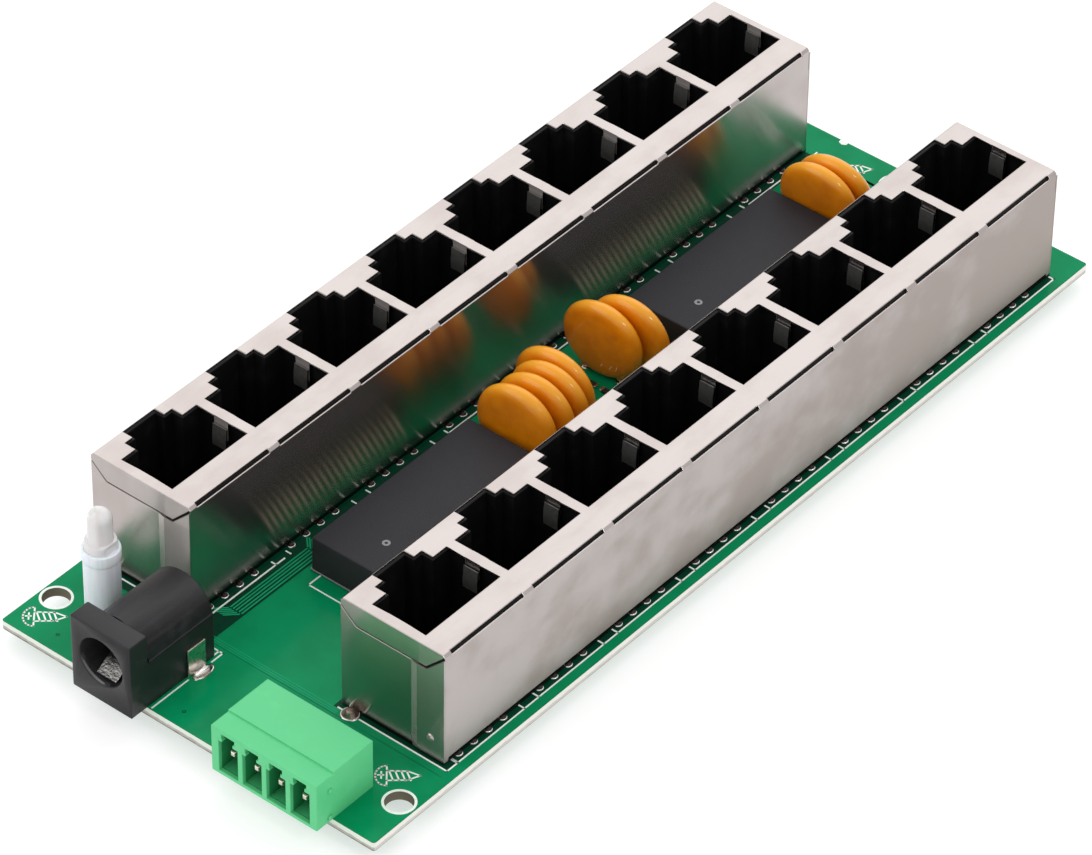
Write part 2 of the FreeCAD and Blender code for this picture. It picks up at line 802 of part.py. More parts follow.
def make_jack():
    """Builds the power jack: a flange, the barrel on its base, and the contacts in the bore."""
    body = new_body("power_jack")
    middle = size.jack_width / 2
    axis = size.jack_axis_height
    behind_flange = size.jack_length - size.jack_flange
    flange = sketch_on(body, "XZ_Plane")
    draw_rectangle(flange, 0, 0, size.jack_width, size.jack_height)
    extrude(body, "Pad", flange, size.jack_flange)
    base = sketch_on(body, "XZ_Plane", size.jack_flange)
    draw_rectangle(base, 0, 0, size.jack_width, size.jack_base_height)
    extrude(body, "Pad", base, behind_flange)
    barrel = sketch_on(body, "XZ_Plane", size.jack_flange)
    draw_circle(barrel, middle, axis, size.jack_barrel_radius)
    extrude(body, "Pad", barrel, behind_flange)
    bore = sketch_on(body, "XZ_Plane")
    draw_circle(bore, middle, axis, size.jack_bore_radius)
    extrude(body, "Pocket", bore, size.jack_bore_depth)
    seat = sketch_on(body, "XZ_Plane", size.jack_spring_front)
    seat_left = middle - size.jack_spring_width / 2
    seat_top = size.jack_spring_low + size.jack_spring_rise
    draw_rectangle(seat, seat_left, size.jack_spring_low, seat_left + size.jack_spring_width, seat_top)
    extrude(body, "Pocket", seat, size.jack_bore_depth - size.jack_spring_front)
    place(body, size.jack_left, FRONT_FACE, 0)

    pin = new_body("power_jack_pin")
    pin_sketch = sketch_on(pin, "XZ_Plane")
    draw_circle(pin_sketch, 0, 0, size.jack_pin_radius)
    extrude(pin, "Pad", pin_sketch, size.jack_bore_depth - size.jack_pin_recess)
    place(pin, size.jack_left + middle, FRONT_FACE + size.jack_pin_recess, axis)

    spring = new_body("power_jack_spring")
    spring_back = size.jack_bore_depth
    spring_crown = (size.jack_spring_front + spring_back) / 2
    spring_edge = size.jack_spring_low + size.jack_spring_sheet
    spring_sketch = sketch_on(spring, "YZ_Plane", seat_left)
    draw_polygon(spring_sketch, [
        (size.jack_spring_front, size.jack_spring_low),
        (spring_back, size.jack_spring_low),
        (spring_back, spring_edge),
        (spring_crown, seat_top),
        (size.jack_spring_front, spring_edge),
    ])
    extrude(spring, "Pad", spring_sketch, size.jack_spring_width)
    place(spring, size.jack_left, FRONT_FACE, 0)

    side_lug = doc.addObject("Part::Box", "power_jack_side_lug")
    bind(side_lug, "Length", size.lug_sheet)
    bind(side_lug, "Width", size.side_lug_width)
    bind(side_lug, "Height", size.side_lug_height)
    place(side_lug, size.jack_left + size.jack_width, FRONT_FACE + size.side_lug_start, 0)
    rear_lug = doc.addObject("Part::Box", "power_jack_rear_lug")
    bind(rear_lug, "Length", size.rear_lug_width)
    bind(rear_lug, "Width", size.lug_sheet)
    bind(rear_lug, "Height", size.rear_lug_height)
    rear_lug_x = size.jack_left + middle - size.rear_lug_width / 2
    place(rear_lug, rear_lug_x, FRONT_FACE + size.jack_length, 0)


def make_lamp():
    """Builds the indicator lamp and the spacer that holds it above the board."""
    spacer = doc.addObject("Part::Cylinder", "lamp_spacer")
    bind(spacer, "Radius", size.spacer_radius)
    bind(spacer, "Height", size.spacer_height)
    place(spacer, size.lamp_x, size.lamp_y, 0)

    rim = doc.addObject("Part::Cylinder", "rim")
    bind(rim, "Radius", size.lamp_rim_radius)
    bind(rim, "Height", size.lamp_rim_height)
    place(rim, size.lamp_x, size.lamp_y, size.spacer_height)
    stem = doc.addObject("Part::Cylinder", "stem")
    bind(stem, "Radius", size.lens_radius)
    bind(stem, "Height", size.lens_height)
    stem_low = size.spacer_height + size.lamp_rim_height
    place(stem, size.lamp_x, size.lamp_y, stem_low)
    dome = doc.addObject("Part::Sphere", "dome")
    bind(dome, "Radius", size.lens_radius)
    place(dome, size.lamp_x, size.lamp_y, stem_low + size.lens_height)
    lens = doc.addObject("Part::MultiFuse", "lamp_lens")
    lens.Shapes = [rim, stem, dome]
    lens.Refine = True


def make_front_solder():
    """Builds the solder joints under the header's pins, the jack's lugs and the lamp's leads."""
    body = new_body("front_solder")
    pin_middle = HEADER_LEFT + HEADER_PIN_LEFT + size.header_pin_size / 2
    pin_back = FRONT_FACE + size.header_pin_bend - size.header_pin_size / 2
    first_pin = add_joint(body, pin_middle, pin_back)
    repeat(body, [first_pin], "X_Axis", size.header_pitch, size.header_poles)
    side_lug_x = size.jack_left + size.jack_width + size.lug_sheet / 2
    add_joint(body, side_lug_x, FRONT_FACE + size.side_lug_start + size.side_lug_width / 2)
    add_joint(body, size.jack_left + size.jack_width / 2, FRONT_FACE + size.jack_length + size.lug_sheet / 2)
    for spread in (0 - size.lamp_lead_spread, size.lamp_lead_spread):
        add_joint(body, size.lamp_x + spread, size.lamp_y)
    place_under_board(body, 0, 0)


def build():
    """Builds every piece of the board."""
    make_board()
    for side, bank_x in BANKS.items():
        make_shield(side, bank_x)
        make_housing(side, bank_x)
        for port in range(SIZES["port_count"]):
            make_contacts(side, bank_x, port)
        make_bank_solder(side, bank_x)
    starts, rear_transformer = lane_places()
    make_transformer("front", size.transformer_front)
    make_transformer("rear", rear_transformer)
    places = fuse_places(starts)
    for number, (shift, face) in enumerate(places, start=1):
        make_fuse(number, shift, face)
    make_fuse_solder(places)
    make_chips(starts["middle"])
    make_header()
    make_jack()
    make_lamp()
    make_front_solder()
    doc.recompute()


def pieces():
    """Lists the finished pieces, leaving out sketches, features and what a piece is fused from."""
    kinds = ("PartDesign::Body", "Part::Box", "Part::Cylinder", "Part::MultiFuse")
    fused = [shape for item in doc.Objects if item.TypeId == "Part::MultiFuse" for shape in item.Shapes]
    return [item for item in doc.Objects if item.TypeId in kinds and item not in fused]


def check():
    """Stops the build where an object has failed or a piece has no sound shape."""
    for item in doc.Objects:
        if "Invalid" in item.State or "Error" in item.State:
            raise RuntimeError(f"{item.Label} did not compute: {item.State}")
    for piece in pieces():
        if piece.Shape.isNull() or not piece.Shape.isValid() or not piece.Shape.Solids:
            raise RuntimeError(f"{piece.Label} has no sound solid")


def export():
    """Writes each piece to a file of its own."""
    os.makedirs("parts", exist_ok=True)
    for piece in pieces():
        piece.Shape.exportStep(f"parts/{piece.Label}.step")


build()
check()
export()
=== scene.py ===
"""Looks of a sixteen-port injector board, built round its fixed frame."""

import functools
import logging
import math
from collections.abc import Sequence
from dataclasses import dataclass
from enum import Enum

import bmesh
import bpy
from mathutils import Matrix, Vector


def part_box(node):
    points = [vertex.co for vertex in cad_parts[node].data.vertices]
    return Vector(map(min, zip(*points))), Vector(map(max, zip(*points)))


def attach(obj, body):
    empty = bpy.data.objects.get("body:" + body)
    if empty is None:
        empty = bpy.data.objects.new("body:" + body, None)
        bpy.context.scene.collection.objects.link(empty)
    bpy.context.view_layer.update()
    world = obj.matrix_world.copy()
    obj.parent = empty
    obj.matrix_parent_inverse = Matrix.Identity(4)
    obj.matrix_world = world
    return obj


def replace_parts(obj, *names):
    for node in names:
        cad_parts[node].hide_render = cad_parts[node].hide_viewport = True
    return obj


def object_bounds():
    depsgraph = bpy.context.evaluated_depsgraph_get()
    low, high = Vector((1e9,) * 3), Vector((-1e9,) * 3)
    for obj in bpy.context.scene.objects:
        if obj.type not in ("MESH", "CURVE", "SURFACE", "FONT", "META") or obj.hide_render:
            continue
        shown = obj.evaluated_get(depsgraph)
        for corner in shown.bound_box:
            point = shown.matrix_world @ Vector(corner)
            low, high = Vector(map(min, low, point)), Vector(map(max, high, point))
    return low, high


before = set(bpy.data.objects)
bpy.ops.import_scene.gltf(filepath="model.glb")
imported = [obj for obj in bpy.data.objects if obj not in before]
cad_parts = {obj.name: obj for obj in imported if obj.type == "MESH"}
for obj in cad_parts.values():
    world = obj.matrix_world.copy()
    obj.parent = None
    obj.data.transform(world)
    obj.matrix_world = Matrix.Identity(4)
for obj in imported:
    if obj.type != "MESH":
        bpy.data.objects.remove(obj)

CAD_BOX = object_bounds()
MM = 0.001
WELD = 0.002 * MM
BOARD_LOW, BOARD_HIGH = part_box("circuit_board")
CORNER = Vector((BOARD_LOW.x, BOARD_LOW.y, BOARD_HIGH.z))
PORTS = 8
PORT_PITCH = 13.97
BANK_FRONT = 14.6
EASE_STEPS = 2
EASE_FROM = 32.0

log = logging.getLogger("injector")

Flat = tuple[float, float]
Triple = tuple[float, float, float]
Points = tuple[Flat, ...]
Ring = list[Vector]

# A wall counts as facing along an axis from the second of these shares of its normal on.
SQUARE_ON: Flat = (0.6, 0.95)


class Axis(Enum):
    """The axes of the shared frame."""

    X = "X"
    Y = "Y"
    Z = "Z"


class Side(Enum):
    """The two banks of ports."""

    LEFT = "left"
    RIGHT = "right"


class Place(Enum):
    """The two transformers."""

    FRONT = "front"
    REAR = "rear"


def on_board(x: float, y: float, z: float = 0.0) -> Vector:
    """Point at millimetres from the board's front left top corner."""
    return CORNER + Vector((x, y, z)) * MM


def upright(x: float, y: float) -> Matrix:
    """An upright axis at a place on the board."""
    return Matrix.Translation(on_board(x, y))


def tipped(point: Vector, degrees: float, about: Axis) -> Matrix:
    """An axis at a point, turned from the upright."""
    return Matrix.Translation(point) @ Matrix.Rotation(math.radians(degrees), 4, about.value)


def rectangle(low: Flat, high: Flat) -> list[Flat]:
    """Corners of a rectangle between two opposite ones."""
    return [low, (high[0], low[1]), high, (low[0], high[1])]


def centred(half_width: float, half_height: float) -> list[Flat]:
    """Corners of a rectangle about its own middle."""
    return rectangle((-half_width, -half_height), (half_width, half_height))


class Value:
    """A shader socket that takes part in Python arithmetic."""

    def __init__(self, shader: "Shader", socket: bpy.types.NodeSocket) -> None:
        """Keeps the socket and the shader that it belongs to."""
        self.shader = shader
        self.socket = socket

    def _math(self, operation: str, first: "Given", second: "Given") -> "Value":
        """Joins two values with one Math node."""
        made = self.shader.node("ShaderNodeMath", {"operation": operation}, {0: first, 1: second})
        return Value(self.shader, made.outputs[0])

    def __add__(self, other: "Given") -> "Value":
        """Sum."""
        return self._math("ADD", self, other)

    def __radd__(self, other: float) -> "Value":
        """Sum, number first."""
        return self._math("ADD", other, self)

    def __sub__(self, other: "Given") -> "Value":
        """Difference."""
        return self._math("SUBTRACT", self, other)

    def __rsub__(self, other: float) -> "Value":
        """Difference, number first."""
        return self._math("SUBTRACT", other, self)

    def __mul__(self, other: "Given") -> "Value":
        """Product."""
        return self._math("MULTIPLY", self, other)

    def __rmul__(self, other: float) -> "Value":
        """Product, number first."""
        return self._math("MULTIPLY", other, self)

    def __abs__(self) -> "Value":
        """Size without sign."""
        return self._math("ABSOLUTE", self, 0.0)

    def step(self, low: float, high: float) -> "Value":
        """Smooth rise from nought at one edge to one at the other.

        Args:
            low: Where the rise starts.
            high: Where it ends.

        Returns:
            The eased value.
        """
        made = self.shader.node(
            "ShaderNodeMapRange",
            {"interpolation_type": "SMOOTHSTEP"},
            {0: self, 1: low, 2: high, 3: 0.0, 4: 1.0},
        )
        return Value(self.shader, made.outputs[0])


Given = Value | float | Triple


class Shader:
    """The node tree of one material."""

    def __init__(self, name: str) -> None:
        """Starts a tree that holds one surface shader and its output.

        Args:
            name: The material's name.
        """
        self.material = bpy.data.materials.new(name)
        self.material.use_nodes = True
        self.tree = self.material.node_tree
        self.tree.nodes.clear()
        self.body = self.node("ShaderNodeBsdfPrincipled")
        surface = Value(self, self.body.outputs[0])
        self.node("ShaderNodeOutputMaterial", {}, {"Surface": surface})
        where = self.node("ShaderNodeTexCoord")
        self.where = Value(self, where.outputs["Object"])

    def node(
        self,
        kind: str,
        settings: dict[str, object] | None = None,
        inputs: dict[str | int, Given] | None = None,
    ) -> bpy.types.Node:
        """Adds one node.

        Args:
            kind: The node's type.
            settings: Its own settings, set before its sockets.
            inputs: Numbers, colours or links for its sockets.

        Returns:
            The new node.
        """
        made = self.tree.nodes.new(kind)
        for name, setting in (settings or {}).items():
            setattr(made, name, setting)
        for key, given in (inputs or {}).items():
            self.feed(made.inputs[key], given)
        return made

    def feed(self, socket: bpy.types.NodeSocket, given: Given) -> None:
        """Links a value to a socket, or sets the socket.

        Args:
            socket: The socket to feed.
            given: A link, a number, a colour or a vector.
        """
        if isinstance(given, Value):
            self.tree.links.new(given.socket, socket)
        elif isinstance(given, tuple) and socket.type == "RGBA":
            socket.default_value = (*given, 1.0)
        else:
            socket.default_value = given

    def surface(self, inputs: dict[str, Given]) -> None:
        """Sets the surface shader's sockets to numbers, colours or links."""
        for name, given in inputs.items():
            self.feed(self.body.inputs[name], given)

    def stretched(self, stretch: Triple) -> Value:
        """The place on the object, scaled along each axis.

        Args:
            stretch: Scale along each axis.

        Returns:
            The scaled place.
        """
        scaling = {"operation": "MULTIPLY"}
        made = self.node("ShaderNodeVectorMath", scaling, {0: self.where, 1: stretch})
        return Value(self, made.outputs[0])

    def grain(self, scale: float, detail: float = 3.0, stretch: Triple = (1.0, 1.0, 1.0)) -> Value:
        """Soft noise over the surface.

        Args:
            scale: Features to the metre.
            detail: Octaves of finer noise.
            stretch: Scale along each axis, for grain that runs one way.

        Returns:
            Noise between nought and one.
        """
        made = self.node(
            "ShaderNodeTexNoise",
            {},
            {"Vector": self.stretched(stretch), "Scale": scale, "Detail": detail},
        )
        return Value(self, made.outputs[0])

    def pits(self, scale: float) -> Value:
        """Distance to the middle of the nearest of many small cells."""
        made = self.node("ShaderNodeTexVoronoi", {}, {"Vector": self.where, "Scale": scale})
        return Value(self, made.outputs[0])

    def facing(self, axis: Axis) -> Value:
        """How far the surface faces along an axis.

        Args:
            axis: The axis.

        Returns:
            A number from minus one to one.
        """
        normal = self.node("ShaderNodeNewGeometry").outputs["Normal"]
        split = self.node("ShaderNodeSeparateXYZ", {}, {0: Value(self, normal)})
        return Value(self, split.outputs[axis.value])

    def along(self, axis: Axis) -> Value:
        """The place along one axis, in metres."""
        split = self.node("ShaderNodeSeparateXYZ", {}, {0: self.where})
        return Value(self, split.outputs[axis.value])

    def blend(self, share: Given, first: Given, second: Given) -> Value:
        """Mixes two colours by the share of the second."""
        made = self.node("ShaderNodeMix", {"data_type": "RGBA"}, {0: share, 6: first, 7: second})
        return Value(self, made.outputs[2])

    def bump(self, rise: Value, strength: float, depth: float) -> Value:
        """Turns a height into a normal.

        Args:
            rise: The height, between nought and one.
            strength: How much of it shows.
            depth: Its full depth in metres.

        Returns:
            The bumped normal.
        """
        made = self.node(
            "ShaderNodeBump", {}, {"Strength": strength, "Distance": depth, "Height": rise}
        )
        return Value(self, made.outputs[0])


@dataclass(frozen=True)
class Finish:
    """A finish of the object, with the name of the slot that it belongs to."""

    slot: str | None

    def paint(self, shader: Shader) -> None:
        """Fills the material's nodes."""
        raise NotImplementedError

    @functools.cache
    def material(self) -> bpy.types.Material:
        """Makes the material once and gives it to every later caller.

        Returns:
            The finish's material.
        """
        shader = Shader(f"{type(self).__name__}_{self.slot}")
        self.paint(shader)
        return shader.material


@dataclass(frozen=True)
class SolderMask(Finish):
    """Glossy green lacquer on the faces, pale glass cloth on the cut edges, with painted light on
    the right-facing edge and painted shade in the holes.
    """

    bare: Triple = (0.001, 0.052, 0.025)
    shaded: Triple = (0.001, 0.036, 0.018)
    over_copper: Triple = (0.004, 0.19, 0.075)
    cloth: Triple = (0.74, 0.79, 0.71)
    resin: Triple = (0.44, 0.43, 0.39)
    # dark_foot: the cut edge darker towards its bottom.
    dark_foot: Triple = (0.13, 0.11, 0.09)
    # lit_right_edge: paler tone for cut edges that face right, a painted light.
    lit_right_edge: Triple = (0.97, 0.91, 0.87)
    # hole_wall_shade: dark brown of the hole walls, partly the laminate's brown and partly painted
    # shade.
    hole_wall_shade: Triple = (0.17, 0.15, 0.11)
    thread_scale: Triple = (900.0, 900.0, 5000.0)
    thread_wander: float = 0.0005
    thread_depth: float = 0.00012
    resin_share: float = 0.45
    face_gloss: float = 0.12
    cut_gloss: float = 0.75
    sheen: float = 0.06

    def cut_edge(self, shader: Shader, threads: Value) -> Value:
        """Layered resin and cloth along the routed sides, darker towards their foot, paler where
        they face right (a painted light), and dark hole walls, partly the laminate's brown and
        partly painted shade.

        Args:
            shader: The material's nodes.
            threads: Noise along the glass threads.

        Returns:
            The colour of the cut edges.
        """
        height = shader.along(Axis.Z) + (threads - 0.5) * self.thread_wander
        middle = BOARD_LOW.z + self.resin_share * (BOARD_HIGH.z - BOARD_LOW.z)
        layer = height.step(middle - 0.1 * MM, middle + 0.1 * MM)
        layers = shader.blend(layer, self.resin, self.cloth)
        # The cut edge turns darker towards its bottom.
        foot = 1.0 - height.step(BOARD_LOW.z + 0.05 * MM, BOARD_LOW.z + 0.25 * MM)
        routed = shader.blend(foot * 0.8, layers, self.dark_foot)
        # Painted light: edges facing right are blended partway to a paler tone.
        side = shader.blend(shader.facing(Axis.X).step(*SQUARE_ON) * 0.35, routed, self.lit_right_edge)
        # Cut faces away from the outer sides are hole walls, painted darker: partly the laminate,
        # partly painted shade.
        half = (BOARD_HIGH - BOARD_LOW) / 2
        far_out = abs(shader.along(Axis.X)).step(half.x - 0.5 * MM, half.x - 0.45 * MM)
        middle_y = (BOARD_HIGH.y + BOARD_LOW.y) / 2
        far_off = abs(shader.along(Axis.Y) - middle_y).step(half.y - 0.9 * MM, half.y - 0.8 * MM)
        return shader.blend(far_out + far_off, self.hole_wall_shade, side)

    def paint(self, shader: Shader) -> None:
        """Dark lacquer above, lacquered copper below, and layered threads along the cut edge.

        Args:
            shader: The material's nodes.
        """
        upward = shader.facing(Axis.Z)
        on_face = abs(upward).step(0.4, 0.6)
        cloud = shader.grain(120.0, 4.0)
        weave = shader.grain(900.0, 2.0)
        patches = (cloud * 0.7 + weave * 0.3).step(0.35, 0.7)
        above = shader.blend(patches, self.bare, self.shaded)
        lacquer = shader.blend(upward.step(-0.5, 0.5), self.over_copper, above)
        threads = shader.grain(1.0, 3.0, self.thread_scale)
        gloss = self.face_gloss + weave * 0.08
        shader.surface({
            "Base Color": shader.blend(on_face, self.cut_edge(shader, threads), lacquer),
            "Roughness": on_face * gloss + (1.0 - on_face) * self.cut_gloss,
            "Specular IOR Level": self.sheen,
            "Normal": shader.bump(threads * (1.0 - on_face * 0.97), 0.6, self.thread_depth),
        })


@dataclass(frozen=True)
class MaskedCopper(Finish):
    """Green lacquer over copper, lighter than over the bare board."""

    green: Triple = (0.002, 0.265, 0.102)
    deep: Triple = (0.001, 0.235, 0.088)

    def paint(self, shader: Shader) -> None:
        """Lacquer over the conductor's own faint grain.

        Args:
            shader: The material's nodes.
        """
        cloud = shader.grain(260.0, 4.0)
        shader.surface({
            "Base Color": shader.blend(cloud.step(0.35, 0.7), self.green, self.deep),
            "Roughness": 0.12 + cloud * 0.08,
            "Specular IOR Level": 0.06,
            "Normal": shader.bump(shader.grain(1400.0), 0.08, 0.00002),
        })


@dataclass(frozen=True)
class LegendInk(Finish):
    """Screened white ink with a dry, slightly broken film."""

    ink: Triple = (0.90, 0.97, 0.91)
    thin: Triple = (0.70, 0.84, 0.74)

    def paint(self, shader: Shader) -> None:
        """Thinner film in small spots.

        Args:
            shader: The material's nodes.
        """
        film = shader.grain(5200.0, 2.0)
        shader.surface({
            "Base Color": shader.blend(film.step(0.56, 0.72), self.ink, self.thin),
            "Roughness": 0.5 + film * 0.2,
            "Normal": shader.bump(film, 0.25, 0.00001),
        })


@dataclass(frozen=True)
class TinnedSheet(Finish):
    """Bright tinned steel, rolled, handled and faintly stained, with painted shade towards the far
    end of the outer wall.
    """

    bright: Triple = (0.482, 0.437, 0.422)
    stained: Triple = (0.37, 0.315, 0.29)
    handled_from: float = 0.02
    lap: Flat = (-0.0158, -0.0117)
    flap: float = 0.0161
    right_lap: float = 0.0217
    fade: float = 0.3 * MM
    smear_scale: Triple = (420.0, 160.0, 260.0)
    rolled_scale: Triple = (5200.0, 160.0, 5200.0)

    def lap_film(self, shader: Shader) -> Value:
        """Dull film on the lapped ends and on the joggle beside them.

        Args:
            shader: The material's nodes.

        Returns:
            How much film there is.
        """
        start, end = self.lap
        across = shader.along(Axis.X)
        on_lap = across.step(start, start + self.fade) * 0.75
        on_flap = shader.along(Axis.Z).step(self.flap, self.flap + self.fade) * 0.6
        forward = 0.0 - shader.facing(Axis.Y)
        front_wall = forward.step(*SQUARE_ON)
        left_end = front_wall * (1.0 - across.step(end - self.fade, end))
        right_end = front_wall * across.step(self.right_lap, self.right_lap + self.fade)
        sideways = (0.0 - shader.facing(Axis.X)).step(0.1, 0.16)
        joggle = sideways * forward.step(0.7, 0.9)
        return left_end * (on_lap + on_flap) + right_end * 0.14 + joggle * 0.45

    def paint(self, shader: Shader) -> None:
        """Rolled grain under cloudy stains, with a dull film on the outermost wall and the laps,
        and painted shade that darkens the outermost wall towards its far end.

        Args:
            shader: The material's nodes.
        """
        clouds = shader.grain(95.0, 5.0)
        smears = shader.grain(1.0, 3.0, self.smear_scale)
        rolled = shader.grain(1.0, 2.0, self.rolled_scale)
        outermost = shader.along(Axis.X).step(self.handled_from, self.handled_from + MM)
        wall = shader.facing(Axis.X).step(*SQUARE_ON) * outermost
        film = wall + self.lap_film(shader)
        # Painted shade: the outermost wall's stain share grows towards its far end.
        far_end_shade = (shader.along(Axis.Y) + 0.025) * 1.6 * wall
        stain = (clouds * 0.65 + smears * 0.35 + far_end_shade).step(0.4, 0.64) * (0.4 + wall * 0.6)
        shader.surface({
            "Base Color": shader.blend(stain, self.bright, self.stained),
            "Metallic": 1.0 - film * 0.55,
            "Roughness": 0.2 + stain * 0.03 + rolled * 0.02 + film * 0.12,
            "Anisotropic": 0.9,
            "Anisotropic Rotation": 0.25,
            "Normal": shader.bump(rolled, 0.02, 0.00001),
        })


@dataclass(frozen=True)
class Moulding(Finish):
    """Moulded plastic with a fine spark-eroded skin."""

    colour: Triple
    worn: Triple
    gloss: float
    skin: float
    sheen: float = 0.5

    def paint(self, shader: Shader) -> None:
        """Fine skin, with lighter rubbed patches.

        Args:
            shader: The material's nodes.
        """
        rubbed = shader.grain(420.0, 4.0).step(0.5, 0.75)
        skin = shader.pits(5200.0)
        shader.surface({
            "Base Color": shader.blend(rubbed, self.colour, self.worn),
            "Roughness": self.gloss + rubbed * 0.12 + skin * 0.06,
            "Specular IOR Level": self.sheen,
            "Normal": shader.bump(skin, self.skin, 0.00003),
        })


@dataclass(frozen=True)
class Plate(Finish):
    """Plated or soldered metal."""

    bright: Triple
    dull: Triple
    gloss: float
    lumps: float
    depth: float

    def paint(self, shader: Shader) -> None:
        """Bright metal with duller patches and soft lumps.

        Args:
            shader: The material's nodes.
        """
        patch = shader.grain(1400.0, 3.0)
        lumps = shader.grain(self.lumps, 2.0)
        shader.surface({
            "Base Color": shader.blend(patch.step(0.4, 0.7), self.bright, self.dull),
            "Metallic": 1.0,
            "Roughness": self.gloss + patch * 0.14,
            "Normal": shader.bump(lumps, 0.6, self.depth),
        })


@dataclass(frozen=True)
class AmberCoat(Finish):
    """Dipped amber lacquer, thick and glossy."""

    amber: Triple = (0.77, 0.235, 0.003)
    burnt: Triple = (0.64, 0.17, 0.002)
    # thin: paler, yellower coat on the up-facing tops, a painted light.
    thin: Triple = (0.86, 0.36, 0.008)

    def paint(self, shader: Shader) -> None:
        """Slow waves in the coat, a few darker specks, and painted light that turns up-facing coat
        paler and yellower.

        Args:
            shader: The material's nodes.
        """
        cloud = shader.grain(520.0, 4.0)
        specks = 1.0 - shader.pits(900.0).step(0.05, 0.16)
        waves = shader.grain(330.0, 2.0)
        share = cloud.step(0.35, 0.75) * 0.8 + specks * 0.2
        # Painted light: up-facing coat is blended towards a paler, yellower tone.
        lit_crown = shader.facing(Axis.Z).step(0.15, 0.85)
        body = shader.blend(share, self.amber, self.burnt)
        shader.surface({
            "Base Color": shader.blend(lit_crown * 0.9, body, self.thin),
            "Roughness": 0.3 + cloud * 0.14,
            "Specular IOR Level": 0.2,
            "Coat Weight": 0.6,
            "Coat Roughness": 0.05,
            "Normal": shader.bump(waves, 0.25, 0.0004),
        })


@dataclass(frozen=True)
class ClearResin(Finish):
    """Clear cast resin of the lamp's lens."""

    tint: Triple = (0.98, 0.95, 0.945)
    haze: Triple = (0.93, 0.89, 0.88)

    def paint(self, shader: Shader) -> None:
        """Clear resin with faint haze and flow lines.

        Args:
            shader: The material's nodes.
        """
        flow = shader.grain(1.0, 3.0, (700.0, 700.0, 220.0))
        shader.surface({
            "Base Color": shader.blend(flow.step(0.4, 0.7), self.tint, self.haze),
            "Roughness": 0.05 + flow * 0.1,
            "Transmission Weight": 0.4,
            "IOR": 1.5,
            "Coat Weight": 0.8,
            "Coat Roughness": 0.03,
            "Normal": shader.bump(flow, 0.08, 0.0001),
        })


@dataclass(frozen=True)
class Nylon(Finish):
    """Milky natural nylon."""

    milk: Triple = (0.81, 0.87, 0.92)
    shade: Triple = (0.74, 0.80, 0.86)

    def paint(self, shader: Shader) -> None:
        """Milky body with faint draw marks along the tube.

        Args:
            shader: The material's nodes.
        """
        marks = shader.grain(1.0, 3.0, (1800.0, 1800.0, 160.0))
        shader.surface({
            "Base Color": shader.blend(marks.step(0.35, 0.7), self.milk, self.shade),
            "Roughness": 0.32 + marks * 0.12,
            "Subsurface Weight": 0.35,
            "Subsurface Scale": 0.002,
            "Normal": shader.bump(marks, 0.12, 0.00005),
        })


@dataclass(frozen=True)
class PaleFloor(Finish):
    """Plain pale studio floor."""

    pale: Triple = (0.50, 0.50, 0.50)
    shade: Triple = (0.47, 0.47, 0.47)

    def paint(self, shader: Shader) -> None:
        """Matt paint with a barely seen mottle.

        Args:
            shader: The material's nodes.
        """
        mottle = shader.grain(4.0)
        shader.surface({
            "Base Color": shader.blend(mottle, self.pale, self.shade),
            "Roughness": 0.9,
            "Emission Color": (1.0, 1.0, 1.0),
            "Emission Strength": 0.58,
        })


MASK = SolderMask("solder_mask_green")
COPPER = MaskedCopper("solder_mask_green")
# Traces: copper under lacquer, lighter green than the pours as a painted highlight of their edges.
TRACE_HIGHLIGHT = MaskedCopper("solder_mask_green", (0.012, 0.36, 0.16), (0.008, 0.31, 0.135))
INK = LegendInk(None)
# Pale grey for the block's mark, and for its foot rim, where it is partly mould flash and partly a
# painted highlight.
MARK_AND_RIM_HIGHLIGHT = LegendInk("transformer_grey", (0.26, 0.26, 0.27), (0.16, 0.16, 0.17))
SHEET = TinnedSheet("tinned_sheet")
# Spring tabs: a darker, rougher copy of the tinned sheet, painted shade inside the port mouths.
SHADED_TIN = Plate("tinned_sheet", (0.32, 0.315, 0.31), (0.25, 0.245, 0.24), 0.42, 900.0, 0.00002)
HOUSING = Moulding("housing_black", (0.005, 0.005, 0.005), (0.009, 0.009, 0.009), 0.35, 0.12, 0.09)
JACK = Moulding("jack_black", (0.012, 0.012, 0.014), (0.020, 0.020, 0.023), 0.38, 0.5, 0.33)
# A lighter grey copy of the jack's black for the mouth's crescent: painted highlight.
JACK_LIP_HIGHLIGHT = Moulding("jack_black", (0.06, 0.06, 0.064), (0.08, 0.08, 0.085), 0.18, 0.3, 0.7)
HEADER = Moulding("header_green", (0.095, 0.56, 0.23), (0.11, 0.59, 0.245), 0.4, 0.2, 0.35)
# Cell lining and cell bottoms: darker copies of the header's green, painted shade inside the cells.
HEADER_CELL_SHADE = Moulding("header_green", (0.012, 0.19, 0.06), (0.016, 0.22, 0.07), 0.5, 0.2, 0.2)
HEADER_FLOOR_SHADE = Moulding("header_green", (0.05, 0.40, 0.155), (0.06, 0.44, 0.17), 0.5, 0.2, 0.25)
# Dark middles inside the wall pads' solder rings: painted shadow under the shield's wall.
PAD_SHADOW = Moulding(None, (0.008, 0.004, 0.003), (0.022, 0.009, 0.006), 0.2, 0.3, 0.3)
EPOXY = Moulding("transformer_grey", (0.018, 0.018, 0.022), (0.025, 0.025, 0.029), 0.6, 0.6, 0.38)
CHIP = Moulding("chip_black", (0.022, 0.022, 0.023), (0.04, 0.04, 0.04), 0.3, 0.2)
GOLD = Plate("contact_gold", (0.83, 0.60, 0.24), (0.70, 0.47, 0.17), 0.18, 900.0, 0.00002)
SOLDER = Plate("solder", (0.74, 0.73, 0.72), (0.50, 0.47, 0.44), 0.08, 1500.0, 0.00005)
